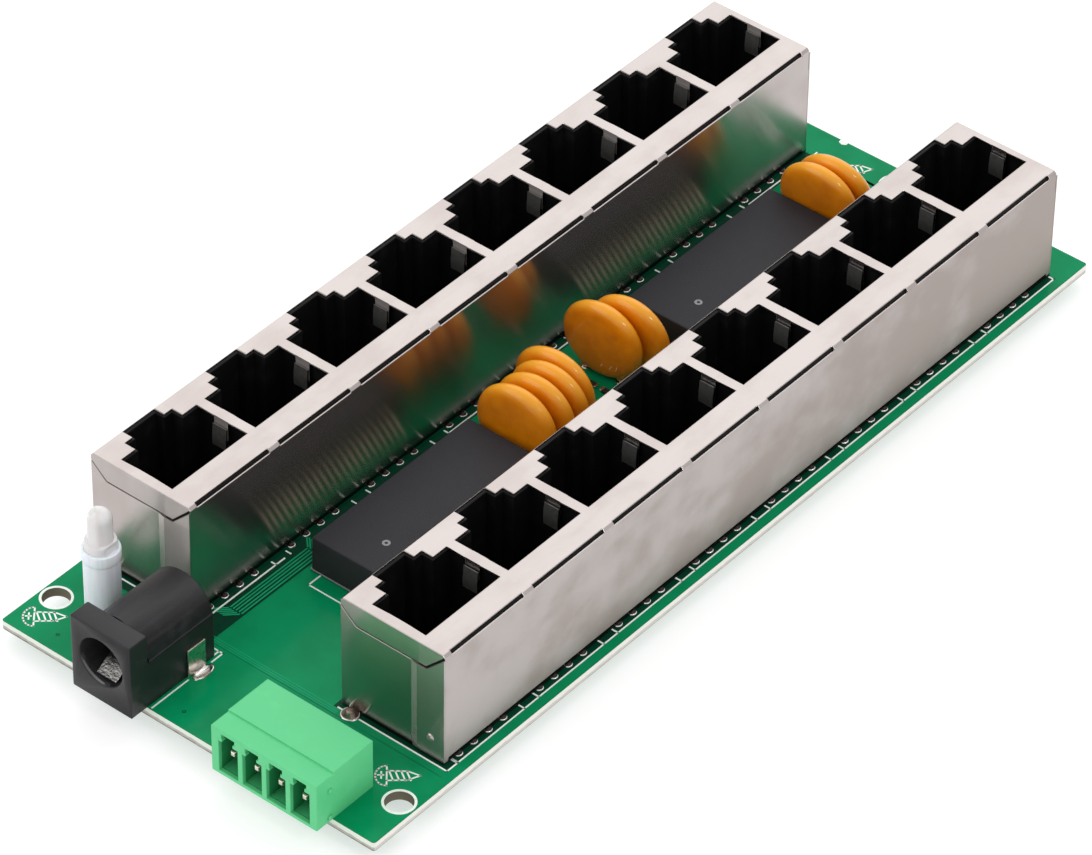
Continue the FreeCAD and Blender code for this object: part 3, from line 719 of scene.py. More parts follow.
# Dark brown copy of solder for the ground joints' middles: painted shadow of the tab's solder.
GROUND_JOINT_SHADE = Plate("solder", (0.36, 0.29, 0.25), (0.13, 0.09, 0.07), 0.3, 2200.0, 0.00012)
TINNED = Plate("tinned_lead", (0.68, 0.62, 0.54), (0.52, 0.47, 0.40), 0.2, 1200.0, 0.00003)
# Transformer leads: a brighter copy of tinned lead, painted light so they read as bright stripes in
# the shield's reflection.
LIT_LEADS = Plate("tinned_lead", (0.92, 0.84, 0.70), (0.80, 0.72, 0.58), 0.5, 1200.0, 0.00003)
# Pin and leaf inside the jack's bore: darker than bright nickel, painted shade of the bore.
SHADED_NICKEL = Plate("nickel", (0.30, 0.295, 0.285), (0.13, 0.127, 0.12), 0.3, 3200.0, 0.0002)
AMBER = AmberCoat("fuse_amber")
RESIN = ClearResin("lamp_clear")
NYLON = Nylon("spacer_white")
FLOOR = PaleFloor(None)


class PieceMesh:
    """The growing mesh of one piece."""

    def __init__(self, name: str) -> None:
        """Starts the empty mesh of a named piece."""
        self.name = name
        self.mesh = bmesh.new()

    def loft(self, rings: Sequence[Ring], closed: bool = True) -> None:
        """Skins a row of rings.

        Args:
            rings: Rings of equal length, in order.
            closed: Whether both ends get a face.
        """
        made = [[self.mesh.verts.new(point) for point in ring] for ring in rings]
        for low, high in zip(made, made[1:]):
            for index in range(len(low)):
                after = (index + 1) % len(low)
                self.mesh.faces.new((low[index], low[after], high[after], high[index]))
        if closed:
            self.mesh.faces.new(list(reversed(made[0])))
            self.mesh.faces.new(made[-1])

    def prism(self, outline: Sequence[Flat], low: float, high: float) -> None:
        """Stands an outline in board millimetres up from one height to another."""
        self.loft([[on_board(x, y, z) for x, y in outline] for z in (low, high)])

    def take(self, node: str) -> None:
        """Copies a solid's mesh, joined up and without needless edges.

        Args:
            node: The solid.
        """
        self.mesh.from_mesh(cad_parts[node].data)
        bmesh.ops.remove_doubles(self.mesh, verts=self.mesh.verts, dist=WELD)
        bmesh.ops.dissolve_limit(
            self.mesh, angle_limit=math.radians(0.5), verts=self.mesh.verts, edges=self.mesh.edges
        )

    def line(self, points: Sequence[Flat], width: float, low: float, high: float) -> None:
        """Lays a line of even width along straight runs.

        Args:
            points: Its bends in board millimetres.
            width: Its width.
            low: Height of its underside.
            high: Height of its top.
        """
        half = width / 2
        for (x0, y0), (x1, y1) in zip(points, points[1:]):
            run = Vector((x1 - x0, y1 - y0)).normalized() * half
            corners = [
                (x0 - run.x + run.y, y0 - run.y - run.x),
                (x1 + run.x + run.y, y1 + run.y - run.x),
                (x1 + run.x - run.y, y1 + run.y + run.x),
                (x0 - run.x - run.y, y0 - run.y + run.x),
            ]
            self.prism(corners, low, high)

    def band(self, centre: Flat, radii: Flat, heights: Flat, sides: int = 48) -> None:
        """Lays a flat ring.

        Args:
            centre: Its centre in board millimetres.
            radii: Inner and outer radius.
            heights: Underside and top.
            sides: Facets round it.
        """
        inner, outer = radii
        low, high = heights
        section = rectangle((inner, low), (outer, high))
        rings = []
        for step in range(sides + 1):
            turn = 2 * math.pi * step / sides
            spoke = (math.cos(turn), math.sin(turn))
            rings.append([
                on_board(centre[0] + r * spoke[0], centre[1] + r * spoke[1], z) for r, z in section
            ])
        self.loft(rings, closed=False)

    def turned(self, profile: Sequence[Flat], place: Matrix, sides: int = 40) -> None:
        """Turns a profile about an axis.

        Args:
            profile: Radius and height pairs in millimetres, end to end.
            place: Where the axis stands, its Z along the axis.
            sides: Facets round it.
        """
        rings = []
        for radius, height in profile:
            ring = []
            for step in range(sides):
                turn = 2 * math.pi * step / sides
                point = Vector((radius * math.cos(turn), radius * math.sin(turn), height)) * MM
                ring.append(place @ point)
            rings.append(ring)
        self.loft(rings)

    def swept(self, path: Sequence[Vector], across: Vector, section: Sequence[Flat]) -> None:
        """Draws a section along a path.

        Args:
            path: Points in metres.
            across: Direction of the section's first axis, square to the path.
            section: Corners in millimetres.
        """
        rings = []
        last = len(path) - 1
        for index, point in enumerate(path):
            ahead = path[min(index + 1, last)] - path[max(index - 1, 0)]
            rise = across.cross(ahead).normalized()
            rings.append([point + (across * u + rise * v) * MM for u, v in section])
        self.loft(rings)

    def piece(self, finish: Finish, smooth: float = 35.0, ease: float = 0.0) -> bpy.types.Object:
        """Makes the object, dresses it and sets it on the board's body.

        Args:
            finish: What covers it.
            smooth: Angle in degrees under which edges shade smooth.
            ease: Width of its eased edges in millimetres.

        Returns:
            The finished piece.
        """
        bmesh.ops.recalc_face_normals(self.mesh, faces=self.mesh.faces)
        data = bpy.data.meshes.new(self.name)
        self.mesh.to_mesh(data)
        self.mesh.free()
        made = bpy.data.objects.new(self.name, data)
        bpy.context.scene.collection.objects.link(made)
        dress(made, finish)
        shade(made, smooth)
        if ease:
            ease_edges(made, ease, smooth > 0.0)
        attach(made, "root")
        log.info("piece %s: %d faces", made.name, len(data.polygons))
        return made


def dress(made: bpy.types.Object, finish: Finish) -> None:
    """Gives an object one finish."""
    made.data.materials.clear()
    made.data.materials.append(finish.material())


def shade(made: bpy.types.Object, angle: float) -> None:
    """Shades an object smooth but for its sharp edges.

    Args:
        made: The object.
        angle: Edge angle in degrees above which an edge stays sharp, nought for flat faces.
    """
    if angle > 0.0:
        made.data.shade_smooth()
        made.data.set_sharp_from_angle(angle=math.radians(angle))
    else:
        made.data.shade_flat()


def ease_edges(made: bpy.types.Object, width: float, smooth: bool) -> None:
    """Rounds an object's sharp edges a little.

    Args:
        made: The object.
        width: Width of the rounding in millimetres.
        smooth: Whether the rounding runs smoothly into its faces.
    """
    rounding = made.modifiers.new("eased edges", "BEVEL")
    rounding.width = width * MM
    rounding.segments = EASE_STEPS
    rounding.limit_method = "ANGLE"
    rounding.angle_limit = math.radians(EASE_FROM)
    rounding.use_clamp_overlap = False
    rounding.harden_normals = smooth


def eased_copy(node: str, name: str, finish: Finish, width: float) -> None:
    """Stands a copy of a solid with eased edges in the solid's place.

    Args:
        node: The solid.
        name: The new piece's name.
        finish: What covers it.
        width: Width of its eased edges in millimetres.
    """
    copy = PieceMesh(name)
    copy.take(node)
    made = copy.piece(finish, smooth=180.0, ease=width)
    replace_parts(made, node)


def islands(node: str) -> list[tuple[Vector, Vector]]:
    """Corners of each loose solid in a node.

    Args:
        node: The node to look at.

    Returns:
        Lowest and highest corner of each solid, in metres.
    """
    mesh = bmesh.new()
    mesh.from_mesh(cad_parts[node].data)
    bmesh.ops.remove_doubles(mesh, verts=mesh.verts, dist=WELD)
    seen = set()
    found = []
    for start in mesh.verts:
        if start in seen:
            continue
        group = [start]
        seen.add(start)
        for point in group:
            for edge in point.link_edges:
                other = edge.other_vert(point)
                if other not in seen:
                    seen.add(other)
                    group.append(other)
        low = Vector([min(point.co[axis] for point in group) for axis in range(3)])
        high = Vector([max(point.co[axis] for point in group) for axis in range(3)])
        found.append((low, high))
    mesh.free()
    return found


def keyhole(
    corner: Flat, hole: Flat, radius: float, start: float, facets: int = 40
) -> list[Flat]:
    """Walks from an outline's edge round a hole and back, so that the hole stays open.

    Args:
        corner: Where the outline is left.
        hole: The hole's centre.
        radius: The hole's radius.
        start: Direction from the hole's centre to the corner, in degrees.
        facets: Facets round the hole.

    Returns:
        Points in board millimetres.
    """
    turns = [math.radians(start - 360 * step / facets) for step in range(facets + 1)]
    rim = [(hole[0] + radius * math.cos(a), hole[1] + radius * math.sin(a)) for a in turns]
    return [corner, *rim, corner]


def build_fillets(node: str, name: str) -> None:
    """Puts smooth soldered cones in the place of plain joints under the board.

    Args:
        node: The plain joints.
        name: The new piece's name.
    """
    joints = PieceMesh(name)
    for low, high in islands(node):
        middle = (low + high) / 2
        base = Matrix.Translation((middle.x, middle.y, high.z))
        reach = (high.z - low.z) / MM
        radius = (high.x - low.x) / 2 / MM
        profile = [
            (radius, 0.0), (radius * 0.97, -0.06), (radius * 0.7, -0.2), (radius * 0.5, -0.5),
            (radius * 0.42, -reach * 0.8), (radius * 0.3, -reach * 0.95), (0.05, -reach),
        ]
        joints.turned(profile, base, sides=16)
    made = joints.piece(SOLDER, smooth=60.0)
    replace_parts(made, node)


@dataclass
class CircuitBoard:
    """The bare board, its copper and all that is printed on it."""

    corner_radius: float = 0.4
    corner_steps: int = 6
    touch: float = 0.01
    copper: float = 0.035
    film: float = 0.06
    overlap: float = 0.05
    line_width: float = 0.2
    holes: Points = ((2.2, 6.75), (53.7, 6.75), (28.695, 129.1))
    hole_ring: Flat = (1.69, 2.0)
    rim: tuple[Flat, Flat] = ((0.04, 0.04), (55.86, 132.06))
    rim_cut: float = 0.25
    opening: tuple[Flat, Flat] = ((0.75, 12.75), (54.62, 127.2))
    outline_near: float = 13.7
    lane: Points = (
        (20.45, 12.7), (38.0, 12.7), (38.0, 127.6), (17.8, 127.6), (17.8, 34.3), (20.45, 31.65),
    )
    vias: Points = ((6.6, 2.3), (26.0, 2.15))
    via_plug: Points = ((0.24, 0.0), (0.24, 0.04), (0.16, 0.05), (0.1, 0.03))
    traces: tuple[float, ...] = (18.3, 18.72, 19.14, 19.6, 20.02)
    trace_ends: Flat = (18.3, 31.7)
    trace_jog: float = 1.4
    trace_width: float = 0.2
    cross_traces: tuple[float, ...] = (12.85, 13.2, 13.55)
    cross_ends: Flat = (17.7, 39.0)
    cross_width: float = 0.12
    cross_lift: float = 0.012
    outlines: tuple[Points, ...] = (
        ((17.46, 28.6), (17.46, 13.96), (0.6, 13.96)),
        ((17.46, 85.0), (17.46, 57.6)),
        ((17.46, 128.0), (17.46, 114.5)),
        ((38.6, 13.83), (39.2, 13.83)),
        ((41.75, 13.83), (54.55, 13.83), (54.55, 127.0), (53.9, 127.0)),
        ((22.88, 0.3), (22.88, 6.25)),
        ((22.88, 10.2), (22.88, 12.05), (13.1, 12.05)),
        ((22.3, 11.0), (22.3, 12.05)),
        ((22.58, 29.4), (22.58, 27.0), (32.0, 27.0)),
        ((22.58, 86.2), (22.58, 83.8), (32.0, 83.8)),
    )
    tick_runs: Points = ((16.8, 17.46), (53.75, 54.55))
    tick_shifts: Flat = (-1.4, 1.1)
    tick_start: float = 1.0
    signs: Points = ((1.5, 1.95), (48.93, 8.18), (20.9, 126.6))
    sign_turn: float = 40.0
    sign_scale: float = 0.94
    sign_head: Flat = (1.37, 1.7)
    sign_head_steps: int = 10
    sign_cross: tuple[Points, ...] = (((0.35, 0.1), (0.97, 0.1)), ((0.72, 0.62), (0.72, -0.45)))
    sign_shank: Points = ((1.37, 0.84), (3.86, 0.74), (5.3, 0.0), (3.86, -0.74), (1.37, -0.84))
    sign_threads: tuple[float, ...] = (1.63, 2.35, 3.05, 3.7)
    sign_thread: Flat = (0.5, 0.8)
    scar: Points = (
        (18.1, 132.05), (18.2, 131.5), (18.8, 131.3), (19.3, 131.6), (19.25, 132.05),
    )

    def build(self) -> None:
        """Builds the board, its copper and its print."""
        self.build_board()
        self.build_pours()
        self.build_traces()
        self.build_legend()

    def build_board(self) -> None:
        """Rounds the bare board's corners."""
        board = PieceMesh("bare_board")
        board.take("circuit_board")
        bmesh.ops.bevel(
            board.mesh,
            geom=[edge for edge in board.mesh.edges if self.is_corner(edge)],
            offset=self.corner_radius * MM,
            segments=self.corner_steps,
            profile=0.5,
            affect="EDGES",
        )
        made = board.piece(MASK)
        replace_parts(made, "circuit_board")

    def is_corner(self, edge: bmesh.types.BMEdge) -> bool:
        """Tells the upright edges at the board's four corners from all others.

        Args:
            edge: An edge of the bare board.

        Returns:
            Whether the edge stands at a corner.
        """
        first, last = (point.co for point in edge.verts)
        stands = abs(first.z - last.z) > 1.0 * MM
        from_side = min(abs(first.x - BOARD_LOW.x), abs(first.x - BOARD_HIGH.x))
        from_end = min(abs(first.y - BOARD_LOW.y), abs(first.y - BOARD_HIGH.y))
        return stands and max(from_side, from_end) < self.touch * MM

    def build_pours(self) -> None:
        """Lays the copper pours under the lacquer and plugs the vias."""
        pour = PieceMesh("copper_pours")
        (left, near), (right, far) = self.rim
        (inner_left, inner_near), (inner_right, inner_far) = self.opening
        left_hole, right_hole, rear_hole = self.holes
        gap = self.hole_ring[0] + self.overlap
        cut = self.rim_cut
        lane_right = self.lane[1][0]
        front = [
            (left, near + cut), (left + cut, near), (right - cut, near), (right, near + cut),
            *keyhole((right, right_hole[1]), right_hole, gap, 0.0),
            (right, inner_near), (left, inner_near),
            *keyhole((left, left_hole[1]), left_hole, gap, 180.0),
        ]
        rear = [
            (left, inner_far), *keyhole((rear_hole[0], inner_far), rear_hole, gap, 270.0),
            (right, inner_far), (right, far - cut), (right - cut, far),
            (left + cut, far), (left, far - cut),
        ]
        strips = [
            rectangle((left, inner_near), (inner_left, inner_far)),
            rectangle((inner_right, inner_near), (right, inner_far)),
            rectangle((lane_right, inner_near - self.overlap), (inner_right, self.outline_near)),
        ]
        for outline in (front, rear, *strips, self.lane):
            pour.prism(outline, 0.0, self.copper)
        pour.piece(COPPER)
        plugs = PieceMesh("via_plugs")
        for via in self.vias:
            plugs.turned(self.via_plug, upright(*via), sides=20)
        plugs.piece(MASK)

    def build_traces(self) -> None:
        """Lays the traces that show through the lacquer, lighter than the pours, a painted
        highlight along their edges.
        """
        traces = PieceMesh("copper_traces")
        near, far = self.trace_ends
        jog = self.trace_jog
        for x in self.traces:
            run = [(x - jog, far + jog), (x, far), (x, near), (x - jog, near - jog)]
            traces.line(run, self.trace_width, 0.0, self.copper)
        left, right = self.cross_ends
        high = self.copper + self.cross_lift
        for y in self.cross_traces:
            traces.line([(left, y), (right, y)], self.cross_width, 0.0, high)
        traces.piece(TRACE_HIGHLIGHT)

    def build_legend(self) -> None:
        """Prints rings, outlines, ticks and screw signs, and shows the scar at the rear edge."""
        legend = PieceMesh("board_legend")
        for hole in self.holes:
            legend.band(hole, self.hole_ring, (0.0, self.film))
        strokes = [*self.outlines, *self.tick_strokes()]
        for sign in self.signs:
            strokes += self.sign_strokes(sign)
        for stroke in strokes:
            legend.line(stroke, self.line_width, 0.0, self.film)
        legend.prism(self.scar, 0.0, self.film)
        legend.piece(INK)

    def tick_strokes(self) -> list[list[Flat]]:
        """Ticks beside both banks, two to a port.

        Returns:
            Runs of points in board millimetres.
        """
        strokes = []
        for near, far in self.tick_runs:
            for port in range(PORTS):
                for shift in self.tick_shifts:
                    y = max(BANK_FRONT + PORT_PITCH * port + shift, BANK_FRONT + self.tick_start)
                    strokes.append([(near, y), (far, y)])
        return strokes

    def sign_strokes(self, head: Flat) -> list[list[Flat]]:
        """Strokes of one screw sign.

        Args:
            head: Where the sign's head starts.

        Returns:
            Runs of points in board millimetres.
        """
        deep, half = self.sign_head
        turns = [math.pi * step / self.sign_head_steps for step in range(self.sign_head_steps + 1)]
        dome = [(deep * (1 - math.sin(a)), half * math.cos(a)) for a in turns]
        lean, rise = self.sign_thread
        threads = [[(u, rise), (u + lean, -rise)] for u in self.sign_threads]
        turn = math.radians(self.sign_turn)
        cos, sin = self.sign_scale * math.cos(turn), self.sign_scale * math.sin(turn)
        return [
            [(head[0] + u * cos - v * sin, head[1] + u * sin + v * cos) for u, v in stroke]
            for stroke in ([*dome, dome[0]], *self.sign_cross, self.sign_shank, *threads)
        ]


@dataclass
class JackBank:
    """One bank of eight ports: shield, moulding, contacts and joints."""

    side: Side
    left: float
    pad_reach: float = 15.15
    depth: float = 15.2
    length: float = 112.6
    top: float = 16.05
    touch: float = 0.02
    sheet_ease: float = 0.08
    moulding_ease: float = 0.1
    mouth: Flat = (1.35, 13.95)
    tab: Flat = (6.2, 8.35)
    tab_slack: float = 0.04
    tab_half_thick: float = 0.05
    tab_root: Flat = (1.39, 13.91)
    tab_root_reach: float = 0.35
    tab_path: Points = ((0.28, 1.0), (0.33, 1.6), (0.42, 2.5), (0.44, 3.3), (0.4, 4.05))
    flap_corners: Points = ((0.0, 15.1), (2.4, 13.05), (12.45, 13.05), (15.0, 15.7))
    flap_touch: float = 0.05
    flap_gape: float = 0.012
    gusset: Points = ((11.3, 0.2), (15.2, 0.2), (15.2, 15.42), (12.6, 12.88), (11.3, 12.88))
    gusset_proud: float = 0.02
    lap: Flat = (11.3, 12.85)
    lap_foot: float = 0.2
    lap_proud: float = 0.2
    joggle: Flat = (1.0, 0.05)
    gap_foot: float = 0.03
    gap_film: float = 0.03
    gap_margin: float = 0.5
    gap_heights: Triple = (0.4, 0.5, 0.25)
    gap_ends: Flat = (2.7, 10.5)
    dimple: Flat = (13.2, 3.0)
    dimple_profile: Points = ((0.56, -0.02), (0.54, 0.05), (0.4, 0.18), (0.2, 0.26), (0.02, 0.28))
    wire: Flat = (0.2, 0.14)
    wire_path: Points = (
        (14.7, 0.0), (14.6, 0.9), (13.6, 1.8), (12.4, 3.2), (11.9, 6.0), (11.55, 12.6),
        (11.3, 13.2), (10.9, 13.1), (10.3, 11.6), (9.6, 9.0), (9.35, 8.0),
    )
    short_reach: float = 13.5
    short_foot: float = 12.16
    pad_ring: Points = (
        (0.58, 0.0), (0.57, 0.06), (0.53, 0.12), (0.47, 0.15), (0.41, 0.13), (0.38, 0.05),
    )
    pad_core: Points = ((0.42, 0.04), (0.4, 0.14), (0.33, 0.24), (0.2, 0.32), (0.03, 0.34))
    ground_tab: Flat = (1.95, 0.75)
    ground_ring: Points = (
        (1.22, 0.0), (1.2, 0.08), (1.12, 0.16), (1.02, 0.17), (0.94, 0.1), (0.9, 0.03),
    )
    ground_core: Points = (
        (0.95, 0.02), (0.9, 0.12), (0.72, 0.3), (0.6, 0.6), (0.4, 0.82), (0.03, 0.86),
    )

    def build(self) -> None:
        """Builds the bank's pieces."""
        name = self.side.value
        self.build_shield()
        eased_copy(f"{name}_bank_housing", f"{name}_port_moulding", HOUSING, self.moulding_ease)
        self.build_folds()
        self.build_tabs()
        self.build_contacts()
        build_fillets(f"{name}_bank_solder", f"{name}_bank_joints")

    def at(self, x: float, y: float, z: float) -> Vector:
        """Point at millimetres from the bank's near left foot."""
        return on_board(self.left + x, BANK_FRONT + y, z)

    def ends(self) -> tuple[Flat, Flat]:
        """Both ends of the bank, each with the way it faces along Y."""
        return (0.0, -1.0), (self.length, 1.0)

    def slab(self, near: Flat, far: Flat, high: float) -> list[Ring]:
        """Rings of a low slab at the bank's foot."""
        outline = rectangle(near, far)
        return [[self.at(x, y, z) for x, y in outline] for z in (self.gap_foot, high)]

    def build_shield(self) -> None:
        """Copies the shield with its end flaps sprung open and its tab roots flush."""
        node = f"{self.side.value}_bank_shield"
        shield = PieceMesh(f"{self.side.value}_shield")
        shield.take(node)
        foot = self.at(0.0, 0.0, 0.0)
        for point in shield.mesh.verts:
            x, y, z = (point.co - foot) / MM
            if any(math.dist((x, z), corner) < self.flap_touch for corner in self.flap_corners):
                for end, way in self.ends():
                    if abs(y - end) < self.touch:
                        point.co.y += way * self.flap_gape * (self.top - z) * MM
            port, along = divmod(y, PORT_PITCH)
            if min(abs(x - edge) for edge in self.tab) < self.touch:
                for edge, root in zip(self.mouth, self.tab_root):
                    past = along - edge
                    if abs(past) < self.tab_root_reach and past * (root - edge) > 0.0:
                        point.co.y = foot.y + (port * PORT_PITCH + root) * MM
        made = shield.piece(SHEET, smooth=0.0, ease=self.sheet_ease)
        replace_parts(made, node)

    def build_folds(self) -> None:
        """Presses both lapped ends and lays black strips at the sheet's foot: painted shadow of the
        gap under it, partly the black housing there.
        """
        folds = PieceMesh(f"{self.side.value}_shield_folds")
        # Black strips over the sheet's foot: painted shadow, partly the black housing beneath.
        shadow_strips = PieceMesh(f"{self.side.value}_foot_gaps")
        wall_gap, end_gap, lap_gap = self.gap_heights
        margin, film = self.gap_margin, self.gap_film
        wall_far = (self.depth + film, self.length - margin)
        shadow_strips.loft(self.slab((self.depth, margin), wall_far, wall_gap))
        left, high = self.lap
        slope, overlap = self.joggle
        for end, way in self.ends():
            proud = end + way * self.lap_proud
            section = [(left - slope, end), (left + overlap, proud), (left + overlap, end)]
            folds.loft([[self.at(x, y, z) for x, y in section] for z in (self.lap_foot, high)])
            cover = proud + way * self.gusset_proud
            folds.loft([[self.at(x, y, z) for x, z in self.gusset] for y in (end, cover)])
            near, far = self.gap_ends
            shadow_strips.loft(self.slab((near, end), (far, end + way * film), end_gap))
            lap_far = (self.depth, cover + way * self.gusset_proud)
            shadow_strips.loft(self.slab((left, end), lap_far, lap_gap))
            x, z = self.dimple
            axis = tipped(self.at(x, proud, z), -way * 90.0, Axis.X)
            folds.turned(self.dimple_profile, axis, sides=24)
        shadow_strips.piece(HOUSING)
        folds.piece(SHEET)

    def build_tabs(self) -> None:
        """Bows the spring tabs that hang into every port, in a darker tin that paints the shade of
        the port mouths.
        """
        tabs = PieceMesh(f"{self.side.value}_spring_tabs")
        left, right = self.tab
        section = centred((right - left) / 2 - self.tab_slack, self.tab_half_thick)
        for port in range(PORTS):
            for edge, inward in zip(self.mouth, (1.0, -1.0)):
                root = PORT_PITCH * port + edge
                path = [
                    self.at((left + right) / 2, root + inward * reach, self.top - drop)
                    for reach, drop in self.tab_path
                ]
                tabs.swept(path, Vector((1.0, 0.0, 0.0)), section)
        tabs.piece(SHADED_TIN, smooth=40.0)

    def build_contacts(self) -> None:
        """Bends the spring wires of every port, and solders their pads and the ground tabs, with
        painted shadow on the pads' dark middles and in the ground joints.
        """
        name = self.side.value
        wires = PieceMesh(f"{name}_contact_wires")
        pads = PieceMesh(f"{name}_wall_pads")
        shadow_cores = PieceMesh(f"{name}_pad_shadow")
        shaded_joints = PieceMesh(f"{name}_ground_joints")
        nodes = [f"{name}_port_{port}_contacts" for port in range(1, PORTS + 1)]
        section = centred(*self.wire)
        for low, high in (solid for node in nodes for solid in islands(node)):
            along = (low.y + high.y) / 2 / MM - CORNER.y / MM
            short = high.x / MM - CORNER.x / MM - self.left < self.short_reach
            path = [
                on_board(self.left + (min(x, self.short_foot) if short else x), along, z)
                for x, z in self.wire_path
            ]
            wires.swept(path, Vector((0.0, 1.0, 0.0)), section)
            if not short:
                pad = upright(self.left + self.pad_reach, along)
                pads.turned(self.pad_ring, pad, sides=20)
                shadow_cores.turned(self.pad_core, pad, sides=20)
        made = wires.piece(GOLD)
        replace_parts(made, *nodes)
        # Bright solder rings round the ground tabs, with dark middles of painted shadow.
        across, out = self.ground_tab
        for end, way in self.ends():
            blob = Matrix.Translation(self.at(across, end + way * out, 0.0))
            pads.turned(self.ground_ring, blob, sides=28)
            shaded_joints.turned(self.ground_core, blob, sides=28)
        shaded_joints.piece(GROUND_JOINT_SHADE, smooth=60.0)
        pads.piece(SOLDER, smooth=60.0)
        shadow_cores.piece(PAD_SHADOW, smooth=60.0)


@dataclass
class Transformer:
    """One potted transformer block on its rows of leads."""

    place: Place
    levels: Points = (
        (-0.02, 0.1), (-0.02, 0.14), (0.0, 2.0), (0.02, 4.6), (0.07, 4.77), (0.2, 4.85),
    )
    corner: float = 0.2
    corner_steps: int = 5
    rim: Points = ((-0.1, 0.0), (-0.14, 0.02), (-0.14, 0.11), (-0.08, 0.13))
    dot: Flat = (1.05, 4.8)
    dot_profile: Points = ((0.5, -0.02), (0.5, 0.012), (0.22, 0.015), (0.18, -0.02))
    lead: Flat = (0.2, 0.11)
    lead_path: Points = (
        (-0.15, 1.75), (0.1, 1.73), (0.25, 1.6), (1.3, 0.24), (1.45, 0.13), (1.7, 0.12),
    )

    def build(self) -> None:
        """Builds the block, its rim, its mark and its leads."""
        node = f"{self.place.value}_transformer"
        low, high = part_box(node)
        self.build_block(node, low, high)
        self.build_leads(f"{node}_leads", low, high)

    def build_block(self, node: str, low: Vector, high: Vector) -> None:
        """Casts the block with its draft, the pale rim round its foot, partly mould flash and
        partly a painted highlight, and its mark.

        Args:
            node: The plain block.
            low: The lowest corner of its box.
            high: The highest corner.
        """
        name = f"{self.place.value}_block"
        block = PieceMesh(name)
        block.loft(self.rings(low, high, self.levels))
        made = block.piece(EPOXY, smooth=24.0)
        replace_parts(made, node)
        # The pale rim is partly mould flash and partly a painted highlight along the foot.
        edge = PieceMesh(f"{name}_rim")
        edge.loft(self.rings(low, high, self.rim))
        edge.piece(MARK_AND_RIM_HIGHLIGHT)
        mark = PieceMesh(f"{name}_dot")
        x, y = self.dot
        spot = Matrix.Translation(((low.x + high.x) / 2 + x * MM, low.y + y * MM, high.z))
        mark.turned(self.dot_profile, spot, sides=24)
        mark.piece(MARK_AND_RIM_HIGHLIGHT)

    def rings(self, low: Vector, high: Vector, levels: Points) -> list[Ring]:
        """Rounded outlines round the block's box.

        Args:
            low: The box's lowest corner.
            high: Its highest corner.
            levels: Inset and height of each outline.

        Returns:
            One ring for each level.
        """
        rings = []
        for inset, rise in levels:
            ring = []
            for quarter, (x, y) in enumerate(((1, 1), (-1, 1), (-1, -1), (1, -1))):
                centre = Vector((
                    (high.x if x > 0 else low.x) - x * (inset + self.corner) * MM,
                    (high.y if y > 0 else low.y) - y * (inset + self.corner) * MM,
                    low.z + rise * MM,
                ))
                for step in range(self.corner_steps + 1):
                    turn = math.pi / 2 * (quarter + step / self.corner_steps)
                    spoke = Vector((math.cos(turn), math.sin(turn), 0.0))
                    ring.append(centre + spoke * self.corner * MM)
            rings.append(ring)
        return rings

    def build_leads(self, node: str, low: Vector, high: Vector) -> None:
        """Bends the leads down to the board on both sides.

        Args:
            node: The plain leads.
            low: The lowest corner of the block's box.
            high: The highest corner.
        """
        leads = PieceMesh(f"{self.place.value}_block_leads")
        section = centred(*self.lead)
        for first, last in islands(node):
            along = (first.y + last.y) / 2
            wall, way = (high.x, 1.0) if first.x > low.x else (low.x, -1.0)
            path = [
                Vector((wall + way * x * MM, along, CORNER.z + z * MM)) for x, z in self.lead_path
            ]
            leads.swept(path, Vector((0.0, 1.0, 0.0)), section)
        # The leads get the brighter tin, a painted light.
        made = leads.piece(LIT_LEADS)
        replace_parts(made, node)


@dataclass
class FuseRow:
    """The dipped discs between the banks."""

    rim: Points = (
        (5.5, 0.0), (5.47, 0.22), (5.37, 0.46), (5.2, 0.68), (4.95, 0.88), (4.6, 1.04), (4.1, 1.15),
        (3.2, 1.23), (2.0, 1.27), (0.02, 1.28),
    )
    skirt: Points = ((0.36, 0.12), (0.5, 0.3), (0.8, 0.8), (1.1, 1.8))
    foot: Points = ((0.75, 0.0), (0.7, 0.05), (0.3, 0.2), (0.28, 0.9))
    yaw: float = 5.0
    height: float = 5.6
    half_gap: float = 2.54
    leans: tuple[float, ...] = (0.0, 0.0, 1.5, 5.0, 4.0, 4.5, 7.0, 9.5)
    shifts: tuple[float, ...] = (0.0, 0.0, -0.4, -0.6, 0.0, 0.5, 0.0, 0.0)

    def build(self) -> None:
        """Dips the discs and stands them on their leads."""
        leads = PieceMesh("fuse_leads")
        for number, (lean, shift) in enumerate(zip(self.leans, self.shifts), start=1):
            self.build_disc(f"fuse_{number}", lean, shift, leads)
        leads.piece(TINNED)
        build_fillets("fuse_solder", "fuse_joints")

    def build_disc(self, node: str, lean: float, shift: float, leads: PieceMesh) -> None:
        """Builds one disc and adds its leads.

        Args:
            node: The plain disc.
            lean: How far it leans to the front, in degrees.
            shift: How far it sits to the right, in millimetres.
            leads: The mesh that takes its leads.
        """
        low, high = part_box(node)
        middle = (low + high) / 2 + Vector((shift * MM, 0.0, 0.0))
        ground = tipped(Vector((middle.x, middle.y, CORNER.z)), self.yaw, Axis.Z)
        hinge = ground @ tipped(Vector(), lean, Axis.X)
        face = hinge @ tipped(Vector((0.0, 0.0, self.height * MM)), 90.0, Axis.X)
        disc = PieceMesh(f"{node}_disc")
        back = [(radius, -rise) for radius, rise in reversed(self.rim)]
        disc.turned([*back, *self.rim[1:]], face, sides=56)
        for way in (-1.0, 1.0):
            post = Matrix.Translation(ground @ Vector((way * self.half_gap * MM, 0.0, 0.0)))
            disc.turned(self.skirt, post, sides=16)
            leads.turned(self.foot, post, sides=16)
        made = disc.piece(AMBER)
        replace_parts(made, node)


